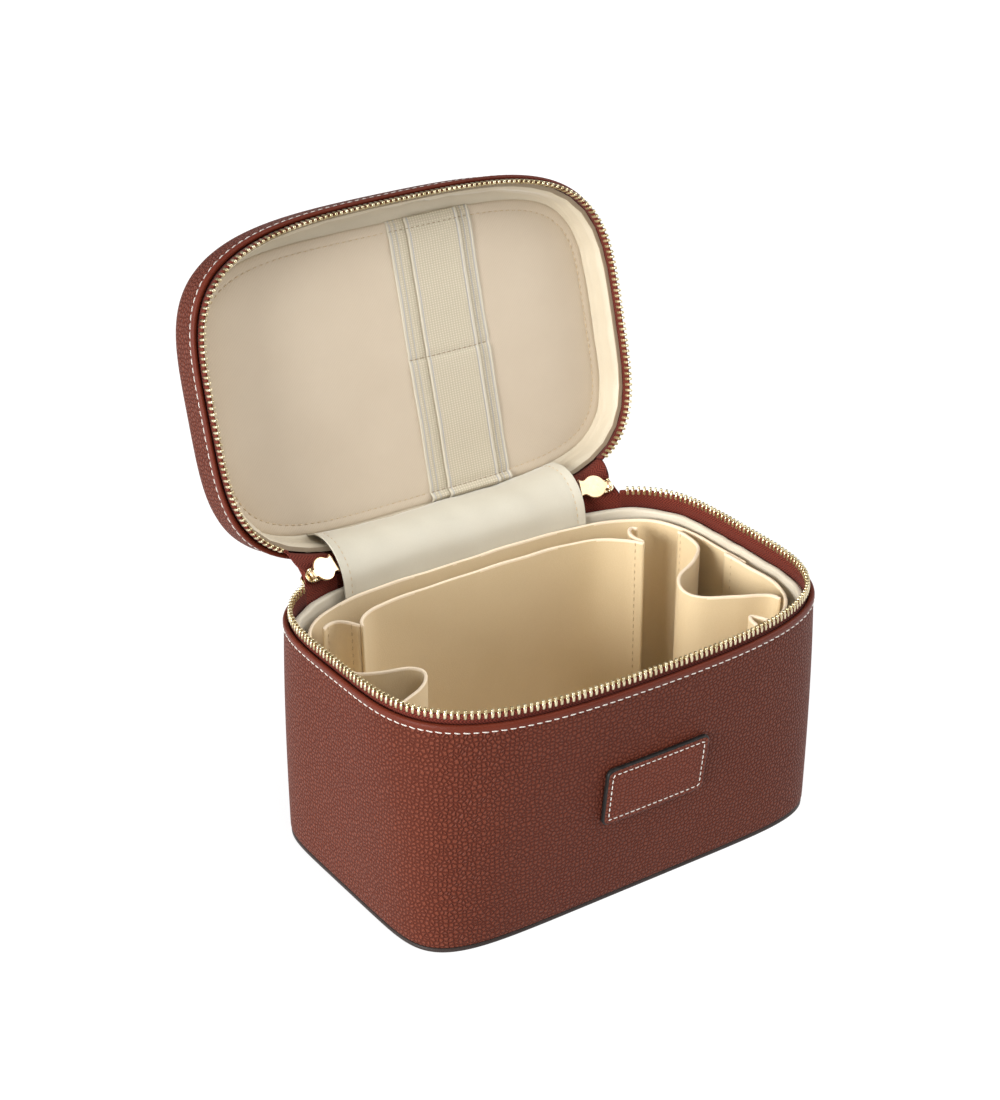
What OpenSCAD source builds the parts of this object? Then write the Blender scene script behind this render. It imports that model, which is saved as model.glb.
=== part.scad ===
// Zip-round leather case with a hinged lid, shown open, and a loose divider insert.
// Origin: middle of the bottom face. +X runs along the hinge, -Y is the front, +Z is up.

/* [Case] */
// Width of the case at its bottom
bottom_width = 218; // [206:1:230]
// Depth of the case at its bottom
bottom_depth = 138; // [130:1:146]
// Height of the base up to its leather lip
base_height = 111.6; // [108:0.1:116]
// How far each end stands out at the lip
end_flare = 3; // [1:0.5:5]
// How far the front and the back stand out at the lip
side_flare = 7; // [4:0.5:9]
// How far the middle of the front lip bulges out
front_bow = 6.5; // [0:0.5:8]
// Squareness of the bottom outline
bottom_power = 6.5; // [4:0.1:8]
// Squareness of the lip outline
lip_power = 3.9; // [3:0.1:5]

/* [Layers] */
// Thickness of the leather
leather = 1.8; // [1.2:0.1:2]
// Thickness of the bottom panel
bottom_panel = 2; // [1.5:0.1:3]
// Thickness of the floor board
floor_board = 2.2; // [1.5:0.1:2.5]
// Thickness of the wall board
wall_board = 1.8; // [1.4:0.1:1.8]
// Thickness of the lining
lining = 0.7; // [0.4:0.1:0.8]

/* [Lid] */
// Angle to which the lid opens
open_angle = 105.8; // [90:0.1:110]
// Height of the closed case
closed_height = 150; // [148:0.5:152]
// Radius round the top edge of the lid
top_radius = 11; // [8:0.5:12]
// How far the middle of the lid's front edge bulges out
lid_bow = 3; // [0:0.5:4]
// Width of the padded panel
panel_width = 208; // [200:1:210]
// Depth of the padded panel
panel_depth = 129; // [124:1:130]
// Width of the wide elastic band
wide_band = 45; // [38:1:50]
// Width of the narrow elastic band
narrow_band = 28.5; // [22:0.5:32]

/* [Zip] */
// Distance from tooth to tooth
tooth_pitch = 2.7; // [2.4:0.1:3]
// Height of a tooth
tooth_height = 4; // [3:0.1:4]
// Depth of a tooth through the chain
tooth_depth = 2.2; // [1.6:0.1:2.4]
// Length of a slider
slider_length = 11; // [9:0.5:11]
// Width of a pull's round end
pull_width = 11.2; // [9:0.1:11.2]
// Lean of the sliders and the pulls when the case is open
slider_lean = 45; // [40:1:50]

/* [Hinge] */
// Half the width of the satin gusset
gusset_half = 66.1; // [60:0.1:66.1]
// Half the width of the leather hinge strip
strip_half = 66; // [56:0.5:66]

/* [Insert] */
// Height of the top edge of the insert
insert_top = 104; // [90:1:105]
// Thickness of the insert's sheet
insert_sheet = 1.5; // [1:0.1:1.8]
// Half the width of the insert at its foot
insert_half_width = 102.2; // [96:0.1:102.2]
// Half the depth of the insert at its foot
insert_half_depth = 62.8; // [58:0.1:62.8]
// How far the insert's ends stand out at its top
insert_end_flare = 1.3; // [0:0.1:1.3]
// How far the insert's front and back stand out at its top
insert_side_flare = 3.6; // [0:0.1:3.6]

/* [Label] */
// Width of the label patch
label_width = 54; // [40:1:60]
// Height of the label patch
label_height = 29; // [20:1:34]
// Thickness of the label patch
label_thick = 2; // [1.5:0.1:2.5]
// Height of the middle of the label patch
label_z = 59; // [50:1:65]

/* [Hidden] */

steps = 72;                         // points round an outline
hinge_y = 74.5;
hinge_z = 117.4;
parting_z = 117.35;
tooth_gap = 0.3;                    // between the two rows of teeth, closed
lip_gap = 11.7;                     // from the base's lip to the lid's lip, closed
lid_lip_z = base_height + lip_gap;
binding_height = 2.1;
tape = 0.55;
tape_inset = 2.1;
board_inset = 2.8;
lining_inset = 4.7;
cavity_inset = lining_inset + lining;
wall_low = bottom_panel + floor_board + 0.4;
board_top = 107;
lining_top = 107.6;
half_zip_end = 70;                  // half the distance between the zip's two ends
half_tape_end = 87;                 // half the distance between the straight tapes' ends
half_teeth_end = 88;
insert_low = wall_low + lining + 0.3;
insert_foot = insert_low + insert_sheet + 0.3;
tape_middle = tape_inset + tape / 2;
tooth_width = tooth_pitch / 2;

// ---- outlines -------------------------------------------------------------------------------

// Distance from the middle of a superellipse to its edge
function reach(angle, half_x, half_y, power) =
    pow(pow(abs(cos(angle)) / half_x, power) + pow(abs(sin(angle)) / half_y, power), -1 / power);

// A point on a superellipse whose front side bulges by bow
function outline_point(angle, half_x, half_y, power, bow = 0) =
    let (r = reach(angle, half_x, half_y, power),
         x = r * cos(angle),
         y = r * sin(angle))
    [x, y < 0 ? y - bow * cos(90 * min(1, abs(x) / half_x)) : y];

// A point of the closed case's wall, inset from its outer face, at height z
function case_point(angle, inset, z) =
    let (s = min(1, z / base_height),
         power = bottom_power + (lip_power - bottom_power) * s,
         p = outline_point(angle, bottom_width / 2 + end_flare * s - inset,
                           bottom_depth / 2 + side_flare * s - inset, power,
                           z > parting_z ? lid_bow : front_bow * s))
    [p.x, p.y, z];

// How far the back wall's face lies forward of its middle, at a distance x from the middle
function back_curve(x) =
    let (half_y = bottom_depth / 2 + side_flare, half_x = bottom_width / 2 + end_flare)
    half_y * (1 - pow(1 - pow(abs(x) / half_x, lip_power), 1 / lip_power));

// Half sizes of the insert's outer face at height z
function insert_half(z) =
    let (s = z / insert_top)
    [insert_half_width + insert_end_flare * s, insert_half_depth + insert_side_flare * s];

function insert_point(angle, inset, z) =
    let (half = insert_half(z), p = outline_point(angle, half.x - inset, half.y - inset, 4))
    [p.x, p.y, z];

// A point given in plan at the insert's top edge, drawn in with the insert's walls at height z
function insert_place(p, z) =
    let (half = insert_half(z), top = insert_half(insert_top))
    [p.x * half.x / top.x, p.y * half.y / top.y, z];

function panel_point(angle, inset, z) =
    let (p = outline_point(angle, panel_width / 2 - inset, panel_depth / 2 - inset, 4.2))
    [p.x, p.y, z];

function circle_angles(count = steps) = [for (i = [0 : count - 1]) 360 * (i + 0.5) / count];

// Angle on the case's wall at which the back face is at distance x from the middle
function back_angle(x) =
    atan2(bottom_depth / 2 + side_flare - tape_middle - back_curve(x), x);

// Angles of the open run that goes from the left end of the zip, round the front, to the right.
// With count = steps they are the walls' own angles, so that thin layers keep their distance.
function run_angles(half_end, count) =
    let (first = back_angle(-half_end), last = 360 + back_angle(half_end), step = 360 / count)
    concat([first],
           [for (i = [floor(first / step) + 1 : ceil(last / step) - 2]) (i + 0.5) * step],
           [last]);

// ---- curves ---------------------------------------------------------------------------------

// A smooth curve through hand-placed points
function smooth(points, cuts = 5) =
    let (last = len(points) - 1)
    concat([for (i = [0 : last - 1], k = [0 : cuts - 1])
                let (t = k / cuts,
                     a = points[max(0, i - 1)], b = points[i],
                     c = points[i + 1], d = points[min(last, i + 2)])
                (2 * b + (c - a) * t + (2 * a - 5 * b + 4 * c - d) * pow(t, 2)
                 + (3 * b - a - 3 * c + d) * pow(t, 3)) / 2],
           [points[last]]);

function left_of(path, i) =
    let (d = path[min(i + 1, len(path) - 1)] - path[max(i - 1, 0)])
    [-d.y, d.x] / norm([d.x, d.y]);

// The closed outline of a sheet of even thickness that follows a 2-D path
function sheet_outline(path, thick) =
    let (last = len(path) - 1)
    concat([for (i = [0 : last]) path[i] - left_of(path, i) * thick / 2],
           [for (i = [last : -1 : 0]) path[i] + left_of(path, i) * thick / 2]);

// Running length along a path, paired with what stands at each point
function length_table(path, values) =
    [for (i = 0, s = 0; i < len(path);
          s = s + (i < len(path) - 1 ? norm(path[i + 1] - path[i]) : 0), i = i + 1)
        [s, values[i]]];

// ---- solids ---------------------------------------------------------------------------------

// A closed skin over rings of points. Each ring is counter-clockwise seen from the next one.
// ends: "none" where the rings form a loop, "flat" for plain end faces, or "sheet" where each ring
// is a sheet's outline, whose end faces run across the sheet from one side to the other.
module loft(rings, ends = "flat") {
    n = len(rings[0]);
    m = len(rings);
    sides = [for (i = [0 : m - (ends == "none" ? 1 : 2)], j = [0 : n - 1])
        let (a = i * n, b = ((i + 1) % m) * n, k = (j + 1) % n)
        each [[a + j, b + j, b + k], [a + j, b + k, a + k]]];
    first = ends == "sheet"
        ? [for (j = [0 : n / 2 - 2]) each [[j, j + 1, n - 2 - j], [j, n - 2 - j, n - 1 - j]]]
        : [[for (j = [0 : n - 1]) j]];
    last = [for (face = first) [for (j = [len(face) - 1 : -1 : 0]) (m - 1) * n + face[j]]];
    polyhedron([for (r = rings) each r],
               ends == "none" ? sides : concat(sides, first, last), convexity = 10);
}

// A wall all the way round. profile: [inset, z], from the outer face's foot to the inner face's.
module wall(profile) {
    loft([for (angle = circle_angles()) [for (p = wall_order(profile)) case_point(angle, p.x, p.y)]],
         ends = "none");
}

function wall_order(profile) = [for (i = [len(profile) - 1 : -1 : 0]) profile[i]];

// A wall that follows the zip's run and is open at the back
module run_wall(profile, half_end) {
    loft([for (angle = run_angles(half_end, steps))
        [for (p = wall_order(profile)) case_point(angle, p.x, p.y)]]);
}

// A cup. levels: [inset, z], over the outside and then the inside; the base's cups open upward.
// middle: a last ring of points inside the last level's.
module cup(levels, middle = []) {
    loft(concat([for (p = levels) [for (angle = circle_angles()) case_point(angle, p.x, p.y)]],
                middle));
}

// A sheet that crosses the hinge. path: [y, z, share of the lid's turn] at the middle of the case.
module hinge_sheet(path, thick, from_x, to_x, cuts) {
    curve = smooth(path, 3);
    loft([for (i = [0 : cuts])
        let (x = from_x + (to_x - from_x) * i / cuts,
             curved = [for (p = curve)
                 let (turn = p[2] * open_angle)
                 [p[0] - back_curve(x) * cos(turn), p[1] + back_curve(x) * sin(turn)]])
        [for (q = sheet_outline(curved, thick)) [x, q.x, q.y]]],
         ends = "sheet");
}

// A strip of the insert's sheet, upright on a path given in plan at the insert's top edge
module insert_strip(path) {
    outline = sheet_outline(smooth(path), insert_sheet);
    loft([for (z = [insert_foot, insert_top]) [for (p = outline) insert_place(p, z)]],
         ends = "sheet");
}

// A run of equal small blocks along the wall: size is [along, through, up]
module run_of_blocks(size, pitch, inset, z, half_end, shift = 0) {
    angles = run_angles(half_end, 720);
    table = length_table([for (a = angles) case_point(a, inset, z)], angles);
    count = floor(table[len(table) - 1][0] / pitch) - 1;
    for (k = [0 : count]) {
        s = (k + 0.5 + shift) * pitch;
        here = case_point(lookup(s, table), inset, z);
        ahead = case_point(lookup(s + 0.5, table), inset, z);
        translate(here)
            rotate([0, 0, atan2(ahead.y - here.y, ahead.x - here.x)])
                translate([-size.x / 2, -size.y / 2, 0])
                    cube(size);
    }
}

// Moves what was drawn in the closed lid's place to the open lid's place
module opened() {
    translate([0, hinge_y, hinge_z])
        rotate([-open_angle, 0, 0])
            translate([0, -hinge_y, -hinge_z])
                children();
}

module rounded_plate(width, height, radius, thick) {
    linear_extrude(thick) {
        square([width - 2 * radius, height], center = true);
        square([width, height - 2 * radius], center = true);
        for (x = [-1, 1], y = [-1, 1]) {
            translate([x * (width / 2 - radius), y * (height / 2 - radius)])
                circle(r = radius, $fn = 32);
        }
    }
}

// ---- base -----------------------------------------------------------------------------------

mid_levels = [38, 74];              // heights at which every wall has a ring

module base_bottom_panel() {
    color("#3a2b27")
        linear_extrude(bottom_panel)
            polygon([for (a = circle_angles()) let (p = case_point(a, 0.4, 0)) [p.x, p.y]]);
}

module base_floor_board() {
    color("#b9a283")
        translate([0, 0, bottom_panel + 0.2])
            linear_extrude(floor_board)
                polygon([for (a = circle_angles()) let (p = case_point(a, 2.2, 0)) [p.x, p.y]]);
}

module base_wall_board() {
    inner = board_inset + wall_board;
    color("#b9a283")
        wall(concat([[board_inset, wall_low]],
                    [for (z = mid_levels) [board_inset, z]],
                    [[board_inset, board_top], [inner, board_top]],
                    [for (z = [mid_levels[1], mid_levels[0]]) [inner, z]],
                    [[inner, wall_low]]));
}

module base_leather() {
    foot = bottom_panel;
    edge = base_height - binding_height - 0.05;
    color("#7a4033")
        wall(concat([[0.9, foot], [0.2, foot + 1.2], [0, foot + 3]],
                    [for (z = mid_levels) [0, z]],
                    [[0, edge], [leather, edge]],
                    [for (z = [mid_levels[1], mid_levels[0]]) [leather, z]],
                    [[leather, foot]]));
}

// The lip's rolled edge: low is its sewn edge, and roll is +1 on the base and -1 on the lid
module rolled_edge(low, roll) {
    high = low + roll * binding_height;
    profile = [[-0.25, low], [-0.35, low + roll * 1.1], [0.1, high - roll * 0.3], [0.8, high],
               [1.4, high - roll * 0.3], [leather, low + roll * 1.1], [leather, low]];
    color("#74382c")
        wall(roll > 0 ? profile : wall_order(profile));
}

module base_rim_binding() {
    rolled_edge(base_height - binding_height, 1);
}

module base_rim_stitching() {
    color("#efe6d8")
        run_of_blocks([2.9, 0.8, 0.6], 3.8, 0, base_height - binding_height - 1.1, half_zip_end);
}

module base_zip_tape() {
    top = parting_z - 1.95;
    low = 97;
    color("#7a2f30")
        run_wall([[tape_inset, low], [tape_inset, base_height], [tape_inset, top],
                  [tape_inset + tape, top], [tape_inset + tape, base_height],
                  [tape_inset + tape, low]], half_tape_end);
}

module base_zip_teeth() {
    color("#d8c07a")
        run_of_blocks([tooth_width, tooth_depth, tooth_height], tooth_pitch, tape_middle,
                      parting_z - tooth_gap / 2 - tooth_height, half_teeth_end);
}

module base_lining() {
    floor_low = wall_low;
    middle_radius = 8;
    color("#e6e1d0")
        cup(concat([[lining_inset, floor_low]],
                   [for (z = mid_levels) [lining_inset, z]],
                   [[lining_inset, lining_top], [cavity_inset, lining_top]],
                   [for (z = [mid_levels[1], mid_levels[0]]) [cavity_inset, z]],
                   [[cavity_inset, floor_low + lining]]),
            middle = [[for (angle = circle_angles())
                [middle_radius * cos(angle), middle_radius * sin(angle), floor_low + lining]]]);
}

// ---- label ----------------------------------------------------------------------------------

module on_front_wall() {
    low = case_point(270, 0, label_z - label_height / 2);
    high = case_point(270, 0, label_z + label_height / 2);
    lean = atan2(low.y - high.y, high.z - low.z);
    gap = 0.35;
    translate(case_point(270, -gap, label_z))
        rotate([90 + lean, 0, 0])
            children();
}

module label_patch() {
    color("#6d382d")
        on_front_wall()
            rounded_plate(label_width, label_height, 3, label_thick);
}

module label_stitching() {
    edge = 4;
    across = label_width - 2 * edge;
    up = label_height - 2 * edge;
    stitch = [2, 0.5, 0.5];
    pitch = 3;
    color("#efe6d8")
        on_front_wall()
            translate([0, 0, label_thick - 0.25]) {
                for (side = [-1, 1], x = [-across / 2 + 0.5 : pitch : across / 2 - 2]) {
                    translate([x, side * up / 2, 0])
                        cube(stitch);
                }
                for (side = [-1, 1], y = [-up / 2 + 0.8 : pitch : up / 2 - 2]) {
                    translate([side * across / 2, y, 0])
                        cube([stitch.y, stitch.x, stitch.z]);
                }
            }
}

// ---- zip ends and hinge ---------------------------------------------------------------------

// Middle of the left slider, and the turn that lays it along the tape
slider_at = [-79.5, 70.26, 116.04];
slider_yaw = 18.8;
slider_half_height = 3.3;
channel = 1.5;                      // half the gap between the slider's two plates
plate = 1;
pin_x = -3;
pin_y = -3.9;
pin_radius = 0.6;
lug_reach = 3.3;

module at_left_slider() {
    translate(slider_at)
        rotate([0, 0, slider_yaw])
            rotate([-slider_lean, 0, 0])
                children();
}

// One slider: two plates, the post between them, and two lugs that hold the pull's pin
module slider() {
    straight = slider_length - 2 * slider_half_height;
    color("#d8c07a")
        at_left_slider() {
            for (face = [-channel, channel + plate]) {
                translate([0, face, 0])
                    rotate([90, 0, 0])
                        linear_extrude(plate) {
                            square([straight, 2 * slider_half_height], center = true);
                            for (side = [-1, 1]) {
                                translate([side * straight / 2, 0])
                                    circle(r = slider_half_height, $fn = 32);
                            }
                        }
            }
            translate([pin_x, channel + plate / 2, 0])
                rotate([90, 0, 0])
                    cylinder(r = 1, h = 2 * channel + plate, $fn = 32);
            for (side = [-1, 1]) {
                translate([pin_x - 0.7, pin_y - 0.7, side * (lug_reach - 0.6) - 0.6])
                    cube([1.4, 2.2, 1.2]);
            }
            translate([pin_x, pin_y, -lug_reach])
                cylinder(r = pin_radius, h = 2 * lug_reach, $fn = 32);
        }
}

// One pull: a knuckle on the pin, a round end, a waist and a flared tail
module pull() {
    radius = pull_width / 2;
    middle_x = pin_x + 1.7 + radius;
    tail_x = 11.7;
    thick = 1.2;
    knuckle_radius = 1.15;
    knuckle_height = 3.8;
    clearance = 0.05;
    tail = smooth([[middle_x + 2.4, 5], [middle_x + 4.6, 3.5], [middle_x + 6.2, 3.7], [tail_x, 4.7]]);
    color("#fbe3c0")
        at_left_slider()
            difference() {
                union() {
                    translate([0, pin_y + thick / 2, 0])
                        rotate([90, 0, 0])
                            linear_extrude(thick) {
                                translate([middle_x, 0])
                                    circle(r = radius, $fn = 48);
                                polygon(concat(tail, [for (i = [len(tail) - 1 : -1 : 0])
                                    [tail[i].x, -tail[i].y]]));
                                translate([pin_x, -knuckle_height / 2])
                                    square([3, knuckle_height]);
                            }
                    translate([pin_x, pin_y, -knuckle_height / 2])
                        cylinder(r = knuckle_radius, h = knuckle_height, $fn = 32);
                }
                translate([pin_x, pin_y, -knuckle_height])
                    cylinder(r = pin_radius + clearance, h = 2 * knuckle_height, $fn = 32);
            }
}

module slider_left() {
    slider();
}

module slider_right() {
    mirror([1, 0, 0])
        slider();
}

module pull_left() {
    pull();
}

module pull_right() {
    mirror([1, 0, 0])
        pull();
}

// Tape between each slider and the gusset: it joins the base's tape to the lid's tape
module zip_tape_ends() {
    path = [[73.3, 107.9, 0], [73.35, 110.2, 0.01], [73.7, 112.2, 0.05], [74.75, 111.95, 0.4],
            [74, 112.7, 0.75], [76.85, 117, 1], [81, 116.4, 1]];
    color("#7a2f30")
        for (side = [-1, 1]) {
            hinge_sheet(path, tape, side < 0 ? -80.4 : 66.9, side < 0 ? -66.9 : 80.4, 6);
        }
}

module hinge_leather() {
    path = [[76.9, 92, 0], [77, 99, 0], [77.2, 106, 0.05], [78, 110, 0.25], [80.2, 112.4, 0.7],
            [84.2, 112.3, 0.95], [91.5, 110, 1]];
    color("#7a4033")
        hinge_sheet(path, 1.1, -strip_half, strip_half, 12);
}

module hinge_gusset() {
    path = [[67.3, 88, 0], [67.3, 98, 0], [67.4, 106, 0], [69, 113.5, 0.1], [74, 119.5, 0.4],
            [81, 122.8, 0.8], [89, 122.4, 1], [94.4, 120, 1], [97.2, 118.5, 1]];
    color("#ece8d6")
        hinge_sheet(path, 0.7, -gusset_half, gusset_half, 12);
}

// ---- lid ------------------------------------------------------------------------------------

shoulder = closed_height - top_radius;
lid_tape_low = parting_z + 2.3;
lid_tape_high = shoulder - 5;

// The lid's cross-section at a depth below its outer face, from the shoulder to the flat top
function shoulder_levels(depth) =
    [for (turn = [0 : 30 : 90])
        [depth + (top_radius - depth) * (1 - cos(turn)), shoulder + (top_radius - depth) * sin(turn)]];

// A lid's cup, between two depths below the outer face, open downward at z = low
module lid_cup(outer, inner, low) {
    inside = shoulder_levels(inner);
    cup(concat([for (i = [len(inside) - 1 : -1 : 0]) inside[i]],
               [[inner, low], [outer, low]],
               shoulder_levels(outer)));
}

module lid_leather() {
    color("#7a4033")
        opened()
            lid_cup(0, leather, lid_lip_z + binding_height + 0.05);
}

module lid_board() {
    color("#b9a283")
        opened()
            lid_cup(board_inset, board_inset + wall_board, lid_lip_z + 1);
}

module lid_rim_binding() {
    opened()
        rolled_edge(lid_lip_z + binding_height, -1);
}

module lid_rim_stitching() {
    color("#efe6d8")
        opened()
            run_of_blocks([2.9, 0.8, 0.6], 3.8, 0, lid_lip_z + binding_height + 0.5, half_zip_end);
}

module lid_zip_tape() {
    color("#7a2f30")
        opened()
            run_wall([[tape_inset, lid_tape_low], [tape_inset, lid_tape_high],
                      [tape_inset + tape, lid_tape_high], [tape_inset + tape, lid_tape_low]],
                     half_tape_end);
}

module lid_zip_teeth() {
    color("#d8c07a")
        opened()
            run_of_blocks([tooth_width, tooth_depth, tooth_height], tooth_pitch, tape_middle,
                          parting_z + tooth_gap / 2, half_teeth_end, shift = 0.5);
}

module lid_lining() {
    color("#e6e1d0")
        opened()
            wall([[lining_inset, lid_lip_z + 0.8], [lining_inset, shoulder],
                  [cavity_inset, shoulder], [cavity_inset, lid_lip_z + 0.8]]);
}

panel_z = 137;
panel_top = closed_height - board_inset - wall_board - 0.4;

module lid_panel() {
    levels = [[3, panel_z], [0.9, panel_z + 0.6], [0, panel_z + 2], [0, panel_top - 2],
              [2, panel_top]];
    color("#d6c3ab")
        opened()
            loft([for (p = levels) [for (angle = circle_angles()) panel_point(angle, p.x, p.y)]]);
}

module lid_panel_stitching() {
    inset = 5;
    pitch = 3.3;
    angles = circle_angles(720);
    table = length_table([for (a = angles) panel_point(a, inset, panel_z)], angles);
    count = floor(table[len(table) - 1][0] / pitch) - 1;
    color("#efe6d8")
        opened()
            for (k = [0 : count]) {
                here = panel_point(lookup(k * pitch, table), inset, panel_z - 0.15);
                ahead = panel_point(lookup(k * pitch + 0.5, table), inset, panel_z - 0.15);
                translate(here)
                    rotate([0, 0, atan2(ahead.y - here.y, ahead.x - here.x)])
                        translate([-1.1, -0.25, 0])
                            cube([2.2, 0.5, 0.5]);
            }
}

band_thick = 0.9;
band_half_length = 65.2;
wide_z = panel_z - 0.2 - band_thick;
narrow_z = wide_z - 0.2 - band_thick;
narrow_x = 9.5;

module elastic_wide() {
    color("#cdc6b4")
        opened()
            translate([0, -band_half_length, wide_z])
                cube([wide_band, 2 * band_half_length, band_thick]);
}

module elastic_narrow() {
    color("#d3cdbb")
        opened()
            translate([narrow_x, -band_half_length, narrow_z])
                cube([narrow_band, 2 * band_half_length, band_thick]);
}

module elastic_stitching() {
    rows = [-61, -1.5, 61];
    stitch = 2.2;
    pitch = 3.2;
    color("#efe6d8")
        opened()
            for (y = rows, x = [1.2 : pitch : wide_band - stitch]) {
                over_narrow = x + stitch > narrow_x && x < narrow_x + narrow_band;
                translate([x, y, (over_narrow ? narrow_z : wide_z) - 0.2])
                    cube([stitch, 0.5, 0.5]);
            }
}

// ---- insert ---------------------------------------------------------------------------------

module organizer_floor() {
    color("#cdb58b")
        translate([0, 0, insert_low])
            linear_extrude(insert_sheet)
                polygon([for (a = circle_angles()) let (p = insert_point(a, 0, 0)) [p.x, p.y]]);
}

// The band round the insert, and the doubled end where it is sewn to itself on the right
module organizer_wall() {
    inner = insert_sheet;
    doubled = 2 * insert_sheet;
    color("#cdb58b") {
        loft([for (angle = circle_angles())
            [for (p = [[inner, insert_foot], [inner, insert_top], [0, insert_top], [0, insert_foot]])
                insert_point(angle, p.x, p.y)]], ends = "none");
        loft([for (angle = [-1 : 2 : 9])
            [for (p = [[doubled, insert_foot], [doubled, insert_top],
                       [inner - 0.1, insert_top], [inner - 0.1, insert_foot]])
                insert_point(angle, p.x, p.y)]]);
    }
}

// Plans of the strips at the insert's top edge
divider_path = [[-73.6, 38], [-72, 42], [-67, 46.5], [-58, 50], [-37, 52.4], [-8, 53], [21, 52.4],
                [41, 52], [59, 48.5], [71, 40], [76.5, 32]];
left_link_path = [[-75.8, 41], [-78, 45.5], [-82, 48.2], [-86.5, 47.4], [-89.5, 45]];
right_link_path = [[77.7, 33.8], [76.4, 37.8], [76.5, 41.9], [78.2, 46], [81.2, 48.2], [83.2, 45.8]];
left_loop_path = [[-99.4, 12], [-98.6, 7], [-96, 3], [-88, -0.5], [-77, -4], [-73, -9.5],
                  [-76, -16], [-83, -21.5], [-92, -25.5], [-97, -28], [-98.6, -33]];
right_pocket_path = [[97.2, 33], [97.6, 27], [95, 15], [84, 5], [70, -2.5], [62.6, -14],
                     [65, -24], [78, -33], [88, -37.6], [92.4, -41.2], [93.3, -45.6]];
front_tab_path = [[69, -58.6], [69.6, -54], [71.6, -50.8], [74, -53.5], [76, -57.4]];

module organizer_back_divider() {
    color("#cdb58b")
        insert_strip(divider_path);
}

// Short folded strips that join the divider's ends to the band
module organizer_left_link() {
    color("#cdb58b")
        insert_strip(left_link_path);
}

module organizer_right_link() {
    color("#cdb58b")
        insert_strip(right_link_path);
}

module organizer_left_loop() {
    color("#cdb58b")
        insert_strip(left_loop_path);
}

module organizer_right_pocket() {
    color("#cdb58b")
        insert_strip(right_pocket_path);
}

module organizer_front_tab() {
    color("#cdb58b")
        insert_strip(front_tab_path);
}

// A row of stitches down the insert, half sunk in the face that passes through a point
module seam(at, turn) {
    pitch = 5;
    for (z = [insert_top - pitch : -pitch : insert_top / 2]) {
        translate(insert_place(at, z))
            rotate([0, 0, turn])
                cube([0.5, 0.5, 2.6], center = true);
    }
}

// A seam on one side of a strip, at one of its path's points: side is +1 on its left
module strip_seam(path, i, side) {
    across = left_of(path, i);
    seam(path[i] + side * across * insert_sheet / 2, atan2(across.y, across.x));
}

module organizer_stitching() {
    overlap = insert_point(4, 2 * insert_sheet, insert_top);
    color("#f4efe4") {
        seam(overlap, 0);
        strip_seam(divider_path, len(divider_path) - 2, -1);
        strip_seam(left_link_path, 3, 1);
        strip_seam(left_loop_path, len(left_loop_path) - 2, 1);
        strip_seam(right_pocket_path, 1, -1);
    }
}

base_bottom_panel();
base_floor_board();
base_wall_board();
base_leather();
base_rim_binding();
base_rim_stitching();
base_zip_tape();
base_zip_teeth();
base_lining();
label_patch();
label_stitching();
zip_tape_ends();
hinge_leather();
hinge_gusset();
slider_left();
slider_right();
pull_left();
pull_right();
lid_leather();
lid_board();
lid_rim_binding();
lid_rim_stitching();
lid_zip_tape();
lid_zip_teeth();
lid_lining();
lid_panel();
lid_panel_stitching();
elastic_wide();
elastic_narrow();
elastic_stitching();
organizer_floor();
organizer_wall();
organizer_back_divider();
organizer_left_link();
organizer_right_link();
organizer_left_loop();
organizer_right_pocket();
organizer_front_tab();
organizer_stitching();
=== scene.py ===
"""Zip-round leather case with an open lid and a loose divider insert.

Lengths are in millimetres in the case's own frame until a mesh is made, which is in metres.
Lid pieces are drawn in the closed lid's place and then turned open about the hinge.
"""

import math

import bmesh
import bpy
import numpy as np
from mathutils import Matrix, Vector


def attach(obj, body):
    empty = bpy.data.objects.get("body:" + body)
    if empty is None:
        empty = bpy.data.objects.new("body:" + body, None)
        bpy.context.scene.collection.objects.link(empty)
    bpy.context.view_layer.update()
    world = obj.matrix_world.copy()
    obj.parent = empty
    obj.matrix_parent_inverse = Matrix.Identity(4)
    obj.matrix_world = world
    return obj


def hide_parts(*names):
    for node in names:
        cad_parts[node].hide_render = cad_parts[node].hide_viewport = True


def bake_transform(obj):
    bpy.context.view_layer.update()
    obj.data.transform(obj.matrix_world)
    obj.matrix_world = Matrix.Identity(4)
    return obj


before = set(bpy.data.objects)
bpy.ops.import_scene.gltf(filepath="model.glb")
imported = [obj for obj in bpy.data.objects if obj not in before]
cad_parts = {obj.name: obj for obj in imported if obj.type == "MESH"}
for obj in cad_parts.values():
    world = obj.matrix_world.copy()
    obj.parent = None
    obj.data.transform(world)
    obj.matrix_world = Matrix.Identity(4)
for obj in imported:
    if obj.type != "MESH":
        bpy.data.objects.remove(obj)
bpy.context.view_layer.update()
random = np.random.default_rng(11)

MM = 0.001
TURN = 2 * math.pi

# ---- the case's measures, as the CAD part has them ----
HALF_X, HALF_Y = 109.0, 69.0
BASE_HEIGHT = 111.6
END_FLARE, SIDE_FLARE = 3.0, 7.0
FRONT_BOW, LID_BOW = 6.5, 3.0
BOTTOM_POWER, LIP_POWER = 6.5, 3.9
PARTING_Z = 117.35
HINGE_Y, HINGE_Z = 74.5, 117.4
OPEN_ANGLE = 105.8
LID_LIP_Z = 123.3
CLOSED_HEIGHT = 150.0
TOP_RADIUS = 11.0
SHOULDER = CLOSED_HEIGHT - TOP_RADIUS
LEATHER = 1.8
TAPE, TAPE_INSET = 0.55, 2.1
TAPE_MIDDLE = TAPE_INSET + TAPE / 2
TOOTH_PITCH = 2.7
INSERT_TOP, INSERT_FOOT, INSERT_SHEET = 104.0, 7.4, 1.5
INSERT_HALF_X, INSERT_HALF_Y, INSERT_POWER = 102.2, 62.8, 4.0
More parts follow.
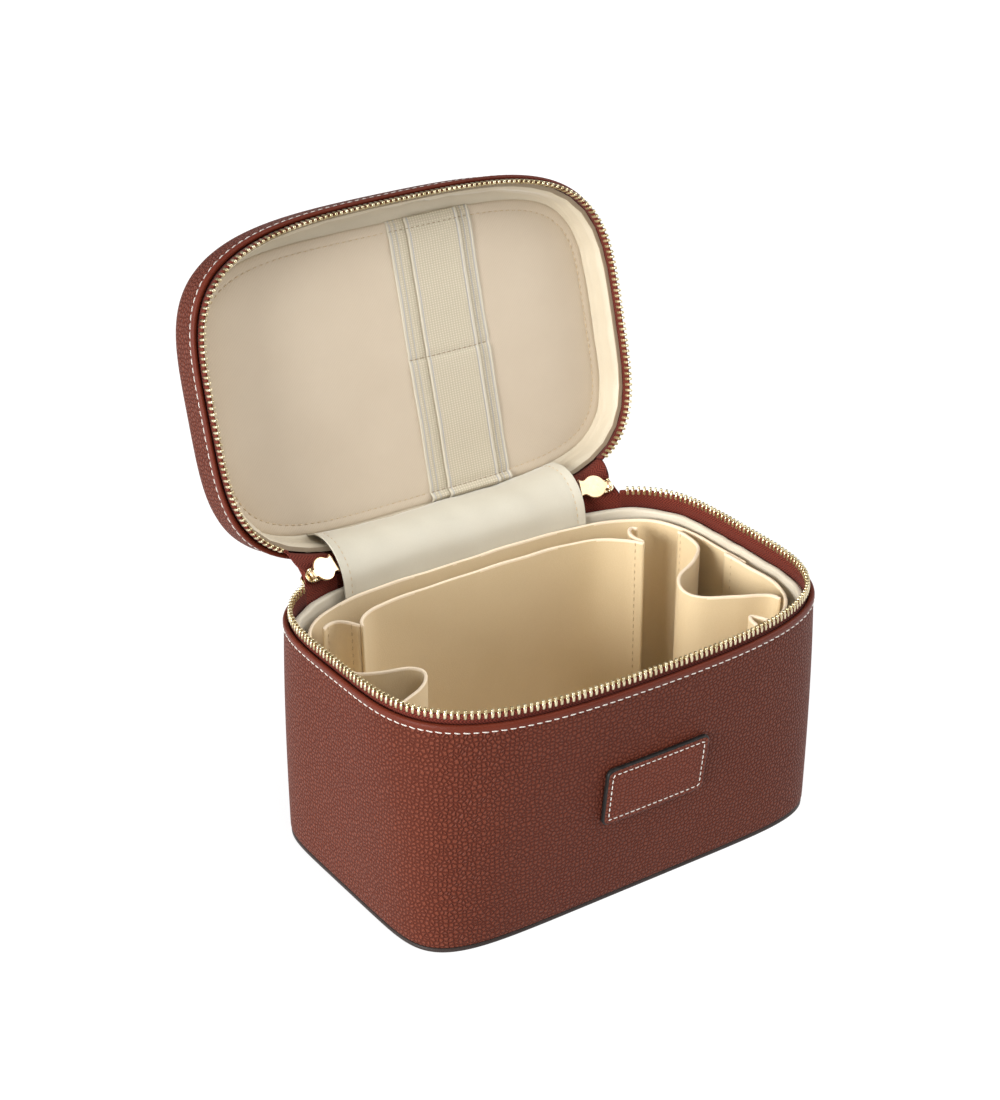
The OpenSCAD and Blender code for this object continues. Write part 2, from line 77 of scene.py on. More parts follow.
INSERT_END_FLARE, INSERT_SIDE_FLARE = 1.3, 3.6
LABEL_WIDTH, LABEL_HEIGHT, LABEL_Z = 54.0, 29.0, 59.0
SLIDER_AT, SLIDER_YAW, SLIDER_LEAN = (-79.5, 70.26, 116.04), 18.8, -45.0

# ---- measures of the visual pieces ----
PANEL_X, PANEL_Y, PANEL_POWER = 105.6, 66.2, 4.6
PANEL_Z, PANEL_TOP = 137.0, 145.0
PANEL_SEAM = 5
LINING_TOP = 106.2
RIM_STITCH_PITCH, RIM_STITCH_Z, RIM_STITCH_INSET, RIM_STITCH_END = 3.8, 108.45, -0.26, 70
TAPE_RUN_END, TOOTH_RUN_END, TOOTH_FOOT = 87, 88, 4.15
GUSSET_HALF, GUSSET_SEAM, GUSSET_WAVE = 66.5, 62.4, 0.55


# ---- outlines ----
def superellipse(angle, half_x, half_y, power, bow=0.0):
    """Points of a rounded rectangle at these angles. bow pushes the middle of its front outward."""
    c, s = np.cos(angle), np.sin(angle)
    r = ((np.abs(c) / half_x) ** power + (np.abs(s) / half_y) ** power) ** (-1 / power)
    x, y = r * c, r * s
    bulge = bow * np.cos(math.pi / 2 * np.minimum(1, np.abs(x) / half_x))
    return x, np.where(y < 0, y - bulge, y)


def case_points(angle, inset, z):
    """Points of the closed case's wall: inset from the outer face, at height z."""
    angle, inset, z = np.broadcast_arrays(angle, inset, z)
    s = np.minimum(1, z / BASE_HEIGHT)
    power = BOTTOM_POWER + (LIP_POWER - BOTTOM_POWER) * s
    bow = np.where(z > PARTING_Z, LID_BOW, FRONT_BOW * s)
    x, y = superellipse(angle, HALF_X + END_FLARE * s - inset, HALF_Y + SIDE_FLARE * s - inset, power, bow)
    return np.stack([x, y, z], -1)


def back_curve(x):
    """How far the back wall's face lies forward of its middle at x."""
    half_y, half_x = HALF_Y + SIDE_FLARE, HALF_X + END_FLARE
    return half_y * (1 - (1 - (np.abs(x) / half_x) ** LIP_POWER) ** (1 / LIP_POWER))


def insert_size(z):
    """The insert's half sizes at height z."""
    s = z / INSERT_TOP
    return INSERT_HALF_X + INSERT_END_FLARE * s, INSERT_HALF_Y + INSERT_SIDE_FLARE * s


def insert_points(angle, inset, z):
    angle, inset, z = np.broadcast_arrays(angle, inset, z)
    half_x, half_y = insert_size(z)
    x, y = superellipse(angle, half_x - inset, half_y - inset, INSERT_POWER)
    return np.stack([x, y, z], -1)


def insert_place(x, y, z):
    """A point given in plan at the insert's top edge, drawn in with the insert's walls at height z."""
    half_x, half_y = insert_size(z)
    top_x, top_y = insert_size(INSERT_TOP)
    return np.stack([x * half_x / top_x, y * half_y / top_y, z + 0 * x], -1)


def panel_points(angle, inset, z):
    angle, inset, z = np.broadcast_arrays(angle, inset, z)
    x, y = superellipse(angle, PANEL_X - inset, PANEL_Y - inset, PANEL_POWER)
    return np.stack([x, y, z], -1)


def opened(points):
    """From the closed lid's place to the open lid's place."""
    t = math.radians(-OPEN_ANGLE)
    y, z = points[..., 1] - HINGE_Y, points[..., 2] - HINGE_Z
    return np.stack([points[..., 0], HINGE_Y + y * math.cos(t) - z * math.sin(t),
                     HINGE_Z + y * math.sin(t) + z * math.cos(t)], -1)


def lengths(path):
    """The distance along a path to each of its points."""
    return np.concatenate([[0], np.cumsum(np.linalg.norm(np.diff(path, axis=0), axis=1))])


def even_angles(place, count, first=0.0, last=TURN):
    """Angles that stand at equal distances along place(angle); a whole turn leaves out its end."""
    fine = np.linspace(first, last, 6001)
    s = lengths(place(fine))
    whole = abs(last - first - TURN) < 1e-6
    at = np.linspace(0, s[-1], count + 1)[:-1] if whole else np.linspace(0, s[-1], count)
    return np.interp(at, s, fine)


def run_limits(half_end):
    """Angles of the open run round the front, between the two points half_end from the back's middle."""
    y = HALF_Y + SIDE_FLARE - TAPE_MIDDLE - back_curve(half_end)
    right = math.atan2(y, half_end)
    return math.pi - right, TURN + right


def catmull(points, cuts):
    """A smooth curve through given points."""
    p = np.asarray(points, float)
    p = np.vstack([p[0], p, p[-1]])
    out = []
    for i in range(1, len(p) - 2):
        a, b, c, d = p[i - 1 : i + 3]
        for t in np.arange(cuts) / cuts:
            bend = (2 * a - 5 * b + 4 * c - d) * t**2 + (3 * b - a - 3 * c + d) * t**3
            out.append((2 * b + (c - a) * t + bend) / 2)
    return np.array(out + [p[-2]])


def evenly(path, step):
    """The same path with its points about one step apart."""
    s = lengths(path)
    at = np.linspace(0, s[-1], max(3, int(round(s[-1] / step)) + 1))
    return np.stack([np.interp(at, s, path[:, k]) for k in range(path.shape[1])], -1)


def normals_2d(path):
    d = np.gradient(path, axis=0)
    return np.stack([-d[:, 1], d[:, 0]], -1) / np.linalg.norm(d, axis=1)[:, None]


# ---- meshes ----
def grid_faces(m, n, wrap_u=False, wrap_v=False):
    """The faces of an m by n grid of points. A wrapped way joins its end to its start."""
    i = np.arange(m if wrap_u else m - 1)[:, None]
    j = np.arange(n if wrap_v else n - 1)[None]
    i2, j2 = (i + 1) % m, (j + 1) % n
    return np.stack([i * n + j, i2 * n + j, i2 * n + j2, i * n + j2], -1).reshape(-1, 4).tolist()


def tube_faces(rings, sides):
    """The faces of a tube: its sides, and a cap on each end."""
    last = (rings - 1) * sides
    return grid_faces(rings, sides, False, True) + [list(range(sides)), list(range(last, last + sides))]


def link(name, data):
    """A new object in the scene."""
    made = bpy.data.objects.new(name, data)
    bpy.context.scene.collection.objects.link(made)
    return made


class Shape:
    """Points and faces that grow piece by piece, with a material index for each face."""

    def __init__(self):
        self.points, self.faces, self.indices, self.runs, self.count = [], [], [], [], 0

    def add(self, points, faces, index=0, runs=None):
        """index is one material's place in the list, or a list with one for each face."""
        points = np.reshape(points, (-1, 3))
        self.points.append(points)
        self.runs.append(points if runs is None else np.reshape(runs, (-1, 3)))
        self.faces += [[v + self.count for v in f] for f in faces]
        self.indices += index if isinstance(index, list) else [index] * len(faces)
        self.count += len(points)
        return self

    def tube(self, rings, index=None, runs=None):
        """A tube with capped ends. index(middle of a face) picks the face's material."""
        rings = np.asarray(rings)
        faces = tube_faces(*rings.shape[:2])
        flat = rings.reshape(-1, 3)
        return self.add(flat, faces, [index(flat[f].mean(0)) for f in faces] if index else 0, runs)

    def loop(self, rings, runs=None):
        """A tube whose last ring joins its first."""
        return self.add(rings, grid_faces(*np.shape(rings)[:2], True, True), 0, runs)

    def layers(self, front, back, faces, edge, index=0):
        """Two matching layers of points, joined round their edge, a list of the front layer's points.
        A list for index holds the front's materials; the back then has 0 and the rim 1."""
        count = front.size // 3
        behind = [[v + count for v in reversed(f)] for f in faces]
        rim = [[a, b, b + count, a + count] for a, b in zip(edge, edge[1:] + edge[:1])]
        if isinstance(index, list):
            index = index + [0] * len(behind) + [1] * len(rim)
        return self.add(np.stack([front, back]), faces + behind + rim, index)

    def make(self, name, body, slot, materials, replaces=(), place=None):
        """The Blender object, riding on its body. place turns the points into their final place."""
        points, runs = np.vstack(self.points), np.vstack(self.runs)
        final = points if place is None else place(points)
        mesh = bpy.data.meshes.new(name)
        mesh.from_pydata((final * MM).tolist(), [], self.faces)
        run = mesh.attributes.new("run", "FLOAT_VECTOR", "POINT")
        run.data.foreach_set("vector", (runs * MM).astype(np.float32).ravel())
        for m in materials:
            mesh.materials.append(m)
        mesh.polygons.foreach_set("material_index", self.indices)
        mesh.polygons.foreach_set("use_smooth", [True] * len(self.faces))
        bm = bmesh.new()
        bm.from_mesh(mesh)
        bmesh.ops.recalc_face_normals(bm, faces=bm.faces)
        bm.to_mesh(mesh)
        bm.free()
        made = link(name, mesh)
        if body:
            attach(made, body)
        if replaces:
            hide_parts(*replaces)
        return made


# ---- stitches and other things in rows ----
def frames(direction, up=(0, 0, 1)):
    """For each direction, three axes: along, outward, up."""
    along = direction / np.linalg.norm(direction, axis=-1, keepdims=True)
    out = np.cross(along, np.broadcast_to(up, along.shape))
    out /= np.linalg.norm(out, axis=-1, keepdims=True)
    return along, out, np.cross(out, along)


def places_along(path, at, look=0.4):
    """The points at these distances along a path, and the way that it runs there."""
    s = lengths(path)
    here, ahead = (np.stack([np.interp(d, s, path[:, k]) for k in range(3)], -1) for d in (at, at + look))
    return here, ahead - here


def along_run(start, pitch, inset, z, half_end):
    """Places at equal distances along the zip's run, and their axes."""
    path = case_points(np.linspace(*run_limits(half_end), 9001), inset, z)
    here, direction = places_along(path, np.arange(start, lengths(path)[-1] - pitch / 2, pitch))
    return here, frames(direction)


def stitch_template(length, width, depth, tilt=0.0):
    """One stitch: a short fat thread whose two ends dive into the holes. Its points and its faces."""
    sides, rings = 8, 7
    t = np.linspace(-1, 1, rings)
    swell = np.sqrt(np.clip(1 - np.abs(t) ** 3.5, 0.05, 1))
    a = np.linspace(0, TURN, sides, endpoint=False)
    x = np.repeat(t * length / 2, sides)
    y = (np.sin(a)[None] * swell[:, None] * depth / 2 - (1 - swell[:, None]) * depth * 0.6).ravel()
    z = (np.cos(a)[None] * swell[:, None] * width / 2).ravel() + x * math.tan(math.radians(tilt))
    return np.stack([x, y, z], -1), tube_faces(rings, sides)


def uneven(thread):
    """Each stitch is a little different from its neighbours."""
    turn = random.normal(0, 0.035)
    thread[:, 0] *= 1 + random.normal(0, 0.05)
    thread[:, 2] += thread[:, 0] * turn


def repeat(shape, here, axes, template, scale=(1, 1, 1), change=uneven):
    """Adds one changed copy of the template at each place. Template axes: along, outward, up."""
    points, faces = template
    for k in range(len(here)):
        t = points * scale
        change(t)
        shape.add(here[k] + t @ np.stack([a[k] for a in axes]), faces, 0, t + [here[k][0], here[k][1], 0])


RIM_STITCH = stitch_template(3.1, 0.58, 0.56, -5)
LABEL_STITCH = stitch_template(2.15, 0.5, 0.5)
SMALL_STITCH = stitch_template(2.1, 0.42, 0.4)


# ---- materials ----
def linear(code):
    """A hex colour as the four linear numbers that Blender takes."""
    values = [int(code[i : i + 2], 16) / 255 for i in (0, 2, 4)]
    return [v / 12.92 if v <= 0.04045 else ((v + 0.055) / 1.055) ** 2.4 for v in values] + [1.0]


class Paint:
    """A node material. Its methods add nodes and return their output sockets."""

    def __init__(self, name, **settings):
        self.material = bpy.data.materials.new(name)
        self.material.use_nodes = True
        self.tree = self.material.node_tree
        self.shader = self.tree.nodes["Principled BSDF"]
        for key, value in settings.items():
            self.shader.inputs[key.replace("_", " ")].default_value = value

    def node(self, kind, inputs=(), output=0, **settings):
        """One node, its inputs set to values or joined to sockets."""
        made = self.tree.nodes.new("ShaderNode" + kind)
        for key, value in settings.items():
            setattr(made, key, value)
        for key, value in dict(inputs).items():
            if isinstance(value, bpy.types.NodeSocket):
                self.tree.links.new(value, made.inputs[key])
            else:
                made.inputs[key].default_value = value
        return made.outputs[output]

    def math(self, operation, a, b=0.0, c=0.0, clamp=False):
        return self.node("Math", {0: a, 1: b, 2: c}, operation=operation, use_clamp=clamp)

    def weigh(self, a, part_a, b, part_b, clamp=True):
        """a and b, each multiplied by its part, and added."""
        return self.math("MULTIPLY_ADD", a, part_a, self.math("MULTIPLY", b, part_b), clamp=clamp)

    def place(self):
        return self.node("TexCoord", output="Object")

    def run(self):
        return self.node("Attribute", output="Vector", attribute_name="run")

    def split(self, vector):
        """The x, y and z of a vector."""
        self.node("SeparateXYZ", {0: vector}, output="X")
        return self.tree.nodes[-1].outputs

    def noise(self, vector, scale, detail=2.0, roughness=0.5):
        inputs = {"Vector": vector, "Scale": scale, "Detail": detail, "Roughness": roughness}
        return self.node("TexNoise", inputs)

    def bands(self, vector, scale, distortion, direction="X", detail=1.0):
        inputs = {"Vector": vector, "Scale": scale, "Distortion": distortion, "Detail": detail}
        return self.node("TexWave", inputs, wave_type="BANDS", bands_direction=direction)

    def cells(self, vector, size, feature="DISTANCE_TO_EDGE", randomness=1.0, **settings):
        """Voronoi cells about size millimetres across."""
        inputs = {"Vector": vector, "Scale": 1000 / size, "Randomness": randomness}
        return self.node("TexVoronoi", inputs, feature=feature, **settings)

    def ripple(self, distance, pitch):
        """A wave between 0 and 1 that repeats every pitch millimetres."""
        turns = self.math("MULTIPLY", distance, TURN / (pitch * MM))
        return self.math("MULTIPLY_ADD", self.math("SINE", turns), 0.5, 0.5)

    def spread(self, value, low, high, new_low=0.0, new_high=1.0):
        inputs = {"Value": value, "From Min": low, "From Max": high, "To Min": new_low, "To Max": new_high}
        return self.node("MapRange", inputs, interpolation_type="SMOOTHSTEP")

    def mix(self, factor, first, second):
        """A colour between two hex codes."""
        return self.node("Mix", {0: factor, 6: linear(first), 7: linear(second)}, output=2, data_type="RGBA")

    def warp(self, vector, scale, reach):
        """The same places, pushed about by noise, so that patterns aren't ruler-straight."""
        push = self.node("TexNoise", {"Vector": vector, "Scale": scale, "Detail": 1.0}, output="Color")
        push = self.node("VectorMath", {0: push, 1: (0.5, 0.5, 0.5)}, operation="SUBTRACT")
        push = self.node("VectorMath", {0: push, "Scale": reach}, output="Vector", operation="SCALE")
        return self.node("VectorMath", {0: vector, 1: push}, operation="ADD")

    def finish(self, colour, roughness=None, height=None, depth=0.2, strength=1.0):
        """Joins the sockets to the shader. depth is the relief's, in millimetres."""
        self.tree.links.new(colour, self.shader.inputs["Base Color"])
        if roughness is not None:
            self.tree.links.new(roughness, self.shader.inputs["Roughness"])
        if height is not None:
            bump = self.node("Bump", {"Height": height, "Distance": depth * MM, "Strength": strength})
            self.tree.links.new(bump, self.shader.inputs["Normal"])
        return self.material


def pebbled_leather(name, light, dark, grain=2.0, depth=0.5):
    """Tumbled grain: rounded pebbles with painted shade in their soft darker valleys and a painted highlight
    on their tops, laid out on the flat hide, run.x by run.y.
    """
    p = Paint(name, Specular_IOR_Level=0.11)
    at = p.warp(p.run(), 420.0, 0.0008)
    valley, away = (p.cells(at, grain, feature, 0.8, voronoi_dimensions="2D")
                    for feature in ("DISTANCE_TO_EDGE", "F1"))
    dome = p.math("MULTIPLY_ADD", away, -0.4, p.spread(valley, -0.04, 0.34), clamp=True)
    fine = p.noise(p.place(), 5200.0, 3.0)
    broad = p.noise(p.place(), 24.0, 3.0)
    height = p.math("ADD", dome, p.math("MULTIPLY", fine, 0.08))
    # The colour follows the relief: painted shade in the valleys and a painted highlight, lighter and greyer,
    # on the pebble tops.
    shade = p.weigh(dome, 0.85, broad, 0.18, clamp=False)
    shade = p.math("ADD", shade, p.math("MULTIPLY", fine, 0.1), clamp=True)
    rough = p.spread(p.math("ADD", dome, fine), 0.2, 1.4, 0.6, 0.46)
    return p.finish(p.mix(shade, dark, light), rough, height, depth)


def smooth_leather(name, light, dark):
    """Rolled or flat smooth leather: fine pores and a slight mottle."""
    p = Paint(name, Specular_IOR_Level=0.15)
    pores = p.cells(p.warp(p.place(), 700.0, 0.0006), 0.55)
    fine = p.noise(p.place(), 2600.0, 4.0)
    broad = p.noise(p.place(), 55.0, 3.0)
    height = p.math("ADD", p.spread(pores, 0.0, 0.25), fine)
    colour = p.mix(p.weigh(broad, 0.7, fine, 0.35), dark, light)
    return p.finish(colour, p.spread(broad, 0.2, 0.8, 0.34, 0.46), height, 0.05, 0.6)


def edge_paint(name, light, dark):
    """Painted cut edges: a little lumpy, with worn spots."""
    p = Paint(name, Coat_Weight=0.05, Coat_Roughness=0.4, Specular_IOR_Level=0.2)
    lumps = p.noise(p.place(), 900.0, 3.0)
    worn = p.spread(p.noise(p.place(), 240.0, 4.0, 0.7), 0.45, 0.75)
    return p.finish(p.mix(worn, dark, light), p.spread(lumps, 0.3, 0.7, 0.35, 0.6), lumps, 0.12, 0.5)


def satin(name, light, dark):
    """Lining: very fine yarns with a soft sheen."""
    p = Paint(name, Sheen_Weight=0.35, Sheen_Roughness=0.35, Specular_IOR_Level=0.42)
    x, y, z = (p.bands(p.run(), scale, 1.2, way) for scale, way in ((900.0, "X"), (700.0, "Y"), (700.0, "Z")))
    height = p.math("ADD", p.math("ADD", x, y), z)
    soft = p.noise(p.place(), 45.0, 3.0)
    slub = p.noise(p.place(), 1800.0)
    colour = p.mix(p.weigh(soft, 0.7, slub, 0.45), dark, light)
    return p.finish(colour, p.spread(slub, 0.3, 0.7, 0.42, 0.6), height, 0.02, 0.5)


def twill(name, light, dark):
    """The lid panel's cloth: fine diagonal ribs and a slight mottle."""
    p = Paint(name, Sheen_Weight=0.3, Sheen_Roughness=0.5, Specular_IOR_Level=0.3)
    rib = p.bands(p.warp(p.run(), 500.0, 0.00025), 420.0, 0.6, "DIAGONAL")
    yarn = p.noise(p.run(), 3200.0)
    broad = p.noise(p.run(), 30.0, 4.0, 0.6)
    shade = p.weigh(broad, 0.62, rib, 0.2, clamp=False)
    shade = p.math("ADD", shade, p.math("MULTIPLY", yarn, 0.3), clamp=True)
    height = p.math("ADD", rib, p.math("MULTIPLY", yarn, 0.9))
    return p.finish(p.mix(shade, dark, light), p.spread(yarn, 0.3, 0.7, 0.62, 0.8), height, 0.05, 0.55)


def herringbone(name, light, dark):
    """Zip tape: run.x is along the tape and run.z is across it."""
    p = Paint(name, Sheen_Weight=0.05, Sheen_Roughness=0.4, Specular_IOR_Level=0.12)
    x, _, z = p.split(p.run())
    zig = p.math("PINGPONG", z, 0.0019)
    rib = p.ripple(p.math("ADD", x, p.math("MULTIPLY", zig, 1.2)), 1.5)
    yarn = p.noise(p.run(), 3000.0)
    colour = p.mix(p.weigh(rib, 0.72, yarn, 0.4), dark, light)
    return p.finish(colour, p.spread(yarn, 0.3, 0.7, 0.6, 0.8), rib, 0.16, 0.9)


def elastic_weave(name, light, dark):
    """Woven elastic: a grid of small raised blocks. run.x is across the band and run.y along it."""
    p = Paint(name, Sheen_Weight=0.1, Sheen_Roughness=0.5, Specular_IOR_Level=0.25)
    x, y, _ = p.split(p.warp(p.run(), 300.0, 0.0002))
    block = p.math("MULTIPLY", p.ripple(x, 1.4), p.ripple(y, 1.1))
    yarn = p.noise(p.run(), 2600.0)
    colour = p.mix(p.weigh(p.spread(block, 0.05, 0.6), 0.55, yarn, 0.5), dark, light)
    return p.finish(colour, p.spread(yarn, 0.3, 0.7, 0.6, 0.8), block, 0.16, 0.8)


def ribbed(name, light, dark):
    """Cord-like woven edges: close ribs across a band."""
    p = Paint(name, Sheen_Weight=0.3, Sheen_Roughness=0.5, Specular_IOR_Level=0.3)
    rib = p.bands(p.run(), 330.0, 0.5)
    yarn = p.noise(p.run(), 2600.0)
    colour = p.mix(p.weigh(rib, 0.5, yarn, 0.5), dark, light)
    return p.finish(colour, p.spread(yarn, 0.3, 0.7, 0.6, 0.8), rib, 0.1, 0.6)


def coated_sheet(name, light, dark):
    """The insert's sheet: matt with a very fine grain."""
    p = Paint(name, Sheen_Weight=0.12, Sheen_Roughness=0.6, Specular_IOR_Level=0.38)
    grain = p.cells(p.warp(p.place(), 800.0, 0.0005), 0.8)
    fine = p.noise(p.place(), 4200.0, 3.0)
    broad = p.noise(p.place(), 26.0, 3.0, 0.55)
    height = p.math("ADD", p.spread(grain, 0.0, 0.3), p.math("MULTIPLY", fine, 0.5))
    colour = p.mix(p.weigh(broad, 0.75, p.spread(grain, 0.0, 0.25), 0.22), dark, light)
    return p.finish(colour, p.spread(fine, 0.3, 0.7, 0.5, 0.64), height, 0.05, 0.6)


def thread_paint(name, light, dark):
    """Twisted thread: slanting strands, shaded in the grooves."""
    p = Paint(name, Sheen_Weight=0.25, Sheen_Roughness=0.4)
    strand = p.bands(p.run(), 480.0, 0.8, "DIAGONAL", 2.0)
    fuzz = p.noise(p.place(), 3400.0)
    colour = p.mix(p.weigh(strand, 0.55, fuzz, 0.55), dark, light)
    return p.finish(colour, p.spread(fuzz, 0.3, 0.7, 0.5, 0.7), strand, 0.08, 0.6)


def metal(name, light, dark, smoothest, roughest):
    """Plated metal: fine scratches, handling marks and slightly duller patches."""
    p = Paint(name, Metallic=1.0)
    marks = p.noise(p.place(), 700.0, 5.0, 0.65)
    scratch = p.bands(p.warp(p.place(), 900.0, 0.0012), 1500.0, 3.0, detail=2.0)
    colour = p.mix(p.spread(p.noise(p.place(), 160.0, 3.0), 0.35, 0.7), light, dark)
    return p.finish(colour, p.spread(marks, 0.3, 0.75, smoothest, roughest), scratch, 0.003, 0.12)


def board_paint(name, light, dark):
    """Grey board: felted fibres and blotches."""
    p = Paint(name, Specular_IOR_Level=0.2)
    fibre = p.noise(p.place(), 1400.0, 5.0, 0.7)
    blotch = p.noise(p.place(), 120.0, 3.0)
    colour = p.mix(p.weigh(fibre, 0.6, blotch, 0.5), dark, light)
    return p.finish(colour, p.spread(fibre, 0.3, 0.7, 0.75, 0.9), fibre, 0.05, 0.5)


# In the pebbled leathers the light colour is the pebble tops' painted highlight and the dark colour the
# valleys' painted shade.
PEBBLED = pebbled_leather("leather_pebbled", "6b3626", "4a1c10")
LABEL_FACE = pebbled_leather("leather_label", "733b2b", "512115", grain=1.9, depth=0.35)
SMOOTH = smooth_leather("leather_smooth", "672a19", "4f1d10")
BOTTOM = smooth_leather("leather_bottom", "3d3431", "241e1c")
EDGE = edge_paint("edge_dark", "2b2927", "181716")
# The base's and the lid's linings are one satin in two copies. The base's is lightened, as painted light
# where the low key leaves it in shade. The lid's is darkened, as painted shade where the key lights it.
BASE_LINING_PAINTED_LIGHT = satin("lining_satin", "d6cdba", "c1b7a3")
LID_LINING_PAINTED_SHADE = satin("lining_satin_lid_painted_shade", "cfc4ae", "bcb099")
GUSSET = satin("gusset_satin", "d1ccbb", "c1b9a6")
PANEL = twill("panel_twill", "d2c3ad", "bfae97")
TAPE_CLOTH = herringbone("zip_tape", "7c372b", "3f140d")
SHEET = coated_sheet("insert_sheet", "e0cba6", "d4bd92")
CUT_EDGE = coated_sheet("insert_cut_edge", "f4e1c6", "ead6b8")
THREAD = thread_paint("thread_white", "dedad2", "b2aca2")
THREAD_WARM = thread_paint("thread_warm", "d4bf9d", "b0956f")
THREAD_BROWN = thread_paint("thread_brown", "a8967c", "8a795f")
ZIP_METAL = metal("zip_metal", "e6dab8", "c0b088", 0.24, 0.38)
PULL_METAL = metal("pull_metal", "eccfaa", "e2bf97", 0.26, 0.36)
ELASTIC = elastic_weave("elastic_weave", "ded4c0", "b3a88f")
ELASTIC_EDGE = ribbed("elastic_edge", "dad2c0", "bdb4a0")
ELASTIC_LINE = ribbed("elastic_line", "bdb9b6", "a5a19e")
BOARD = board_paint("grey_board", "b6a68e", "94846c")

for node_name in ("base_floor_board", "lid_board"):
    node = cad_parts[node_name]
    node.data.materials.clear()
    node.data.materials.append(BOARD)


# ---- walls ----
WALL_ANGLES = even_angles(lambda a: case_points(a, 0, 105.0), 420)


def wall(name, body, slot, material, profile, cad_node, place=None, runs=None):
    """A wall all the way round. profile: [inset, z] round its whole cross-section."""
    inset, z = np.transpose(profile)
    Shape().loop(case_points(WALL_ANGLES[:, None], inset, z), runs).make(
        name, body, slot, [material], [cad_node], place)


def lid_height(z):
    """The height in the closed lid that mirrors a height at the base's rim."""
    return LID_LIP_Z + BASE_HEIGHT - z


def rim_threads(body, z, flip, place=None):
    """The stitches along a rim. flip is -1 where they lean the mirrored way."""
    shape = Shape()
    here, axes = along_run(1.9, RIM_STITCH_PITCH, RIM_STITCH_INSET, z, RIM_STITCH_END)
    repeat(shape, here, axes, RIM_STITCH, (1, 1, flip))
    shape.make(f"{body}_rim_threads", body, "thread", [THREAD], [f"{body}_rim_stitching"], place)


BASE_SKIN = ([(1.2, 2.0), (0.6, 2.25), (0.2, 2.9), (0.02, 4.0)]
             + [(0.0, z) for z in np.linspace(7, 103, 17)]
             + [(0.0, 105.5), (0.05, 106.8), (0.14, 107.6), (0.5, 108.1), (LEATHER, 108.1)]
             + [(LEATHER, z) for z in np.linspace(100, 5, 8)] + [(LEATHER, 2.0)])
WALL_BOARD = ([(2.8, z) for z in np.linspace(4.9, 104.6, 24)] + [(2.95, 105.0), (4.45, 105.0)]
              + [(4.6, z) for z in np.linspace(104.6, 4.9, 24)])
BINDING = [(0.3, 107.5), (-0.06, 107.7), (-0.24, 108.0), (-0.2, 108.45), (-0.28, 108.9), (-0.42, 109.6),
           (-0.46, 110.3), (-0.34, 110.95), (-0.02, 111.4), (0.5, 111.6), (1.1, 111.5), (1.6, 111.0),
           (1.78, 110.3), (LEATHER, 109.2), (LEATHER, 108.2), (1.2, 107.5)]
BOTTOM_PANEL = [(6, 0.0), (2, 0.0), (0.5, 0.0), (0.25, 0.3), (0.2, 1.0), (0.35, 1.7), (0.7, 2.0), (4, 2.0)]

round_base = lengths(case_points(WALL_ANGLES, 0, 60.0))
skin_runs = np.stack(np.broadcast_arrays(round_base[:, None], np.transpose(BASE_SKIN)[1], 0.0), -1)
wall("base_skin", "base", "leather_pebbled", PEBBLED, BASE_SKIN, "base_leather", runs=skin_runs)
wall("base_wall_sheet_board", "base", "board", BOARD, WALL_BOARD, "base_wall_board")
wall("base_binding", "base", "leather_smooth", SMOOTH, BINDING, "base_rim_binding")
Shape().tube([case_points(WALL_ANGLES, i, 0.0) + [0, 0, z] for i, z in BOTTOM_PANEL]).make(
    "base_bottom", "base", "leather_smooth_dark", [BOTTOM], ["base_bottom_panel"])
rim_threads("base", RIM_STITCH_Z, 1)


# ---- zip ----
def tape_profile(low, high, bead=0.35):
    """A tape's cross-section from its hidden edge to the corded edge that carries the teeth."""
    up = 1 if high > low else -1
    half = [(0, low), (0, high - up * 2.6), (bead, high - up * 1.9), (bead, high - up * 0.5), (0, high)]
    outer = [(TAPE_INSET - out, z) for out, z in half]
    return outer + [(TAPE_INSET + TAPE + out, z) for out, z in reversed(half)]


def tape_line(angles):
    """The line that a tape follows, taken just under the teeth."""
    return case_points(angles, TAPE_MIDDLE, 112.0)


def tape(low, high):
    """A tape round the front and the sides."""
    inset, z = np.transpose(tape_profile(low, high))
    angles = even_angles(tape_line, 640, *run_limits(TAPE_RUN_END))
    along = lengths(tape_line(angles))
    runs = np.stack(np.broadcast_arrays(along[:, None], 0.0, z), -1)
    return Shape().tube(case_points(angles[:, None], inset, z), runs=runs)


def tooth_template(up):
    """One tooth: two legs that clasp the tape's cord, a neck and a rounded head."""
    sides = 16
    levels = [(0.0, 0.5, 0.85), (0.12, 0.68, 1.02), (0.4, 0.75, 1.12), (2.0, 0.75, 1.12), (2.45, 0.72, 1.02),
              (2.8, 0.62, 0.8), (3.1, 0.62, 0.76), (3.4, 0.68, 0.86), (3.72, 0.64, 0.78), (3.92, 0.48, 0.56),
              (4.0, 0.24, 0.3)]
    a = np.linspace(0, TURN, sides, endpoint=False)
    x, y = (np.sign(f(a)) * np.abs(f(a)) ** 0.55 for f in (np.cos, np.sin))
    rings = [np.stack([w * x, d * y, np.full(sides, up * z)], -1) for z, w, d in levels]
    return np.vstack(rings), tube_faces(len(levels), sides)


def lean(tooth):
    """Each tooth leans a little its own way."""
    tooth[:, 0] += tooth[:, 2] * random.normal(0, 0.02)


def zip_side(body, up, low, high, shift, place=None):
    """One half of the zip. The lid's teeth stand half a pitch along from the base's."""
    tape(low, high).make(f"{body}_zip_cloth", body, "zip_tape", [TAPE_CLOTH], [f"{body}_zip_tape"], place)
    shape = Shape()
    here, axes = along_run((0.5 + shift) * TOOTH_PITCH, TOOTH_PITCH, TAPE_MIDDLE, PARTING_Z - up * TOOTH_FOOT,
                           TOOTH_RUN_END)
    repeat(shape, here, axes, tooth_template(up), change=lean)
    shape.make(f"{body}_zip_chain", body, "zip_metal", [ZIP_METAL], [f"{body}_zip_teeth"], place)


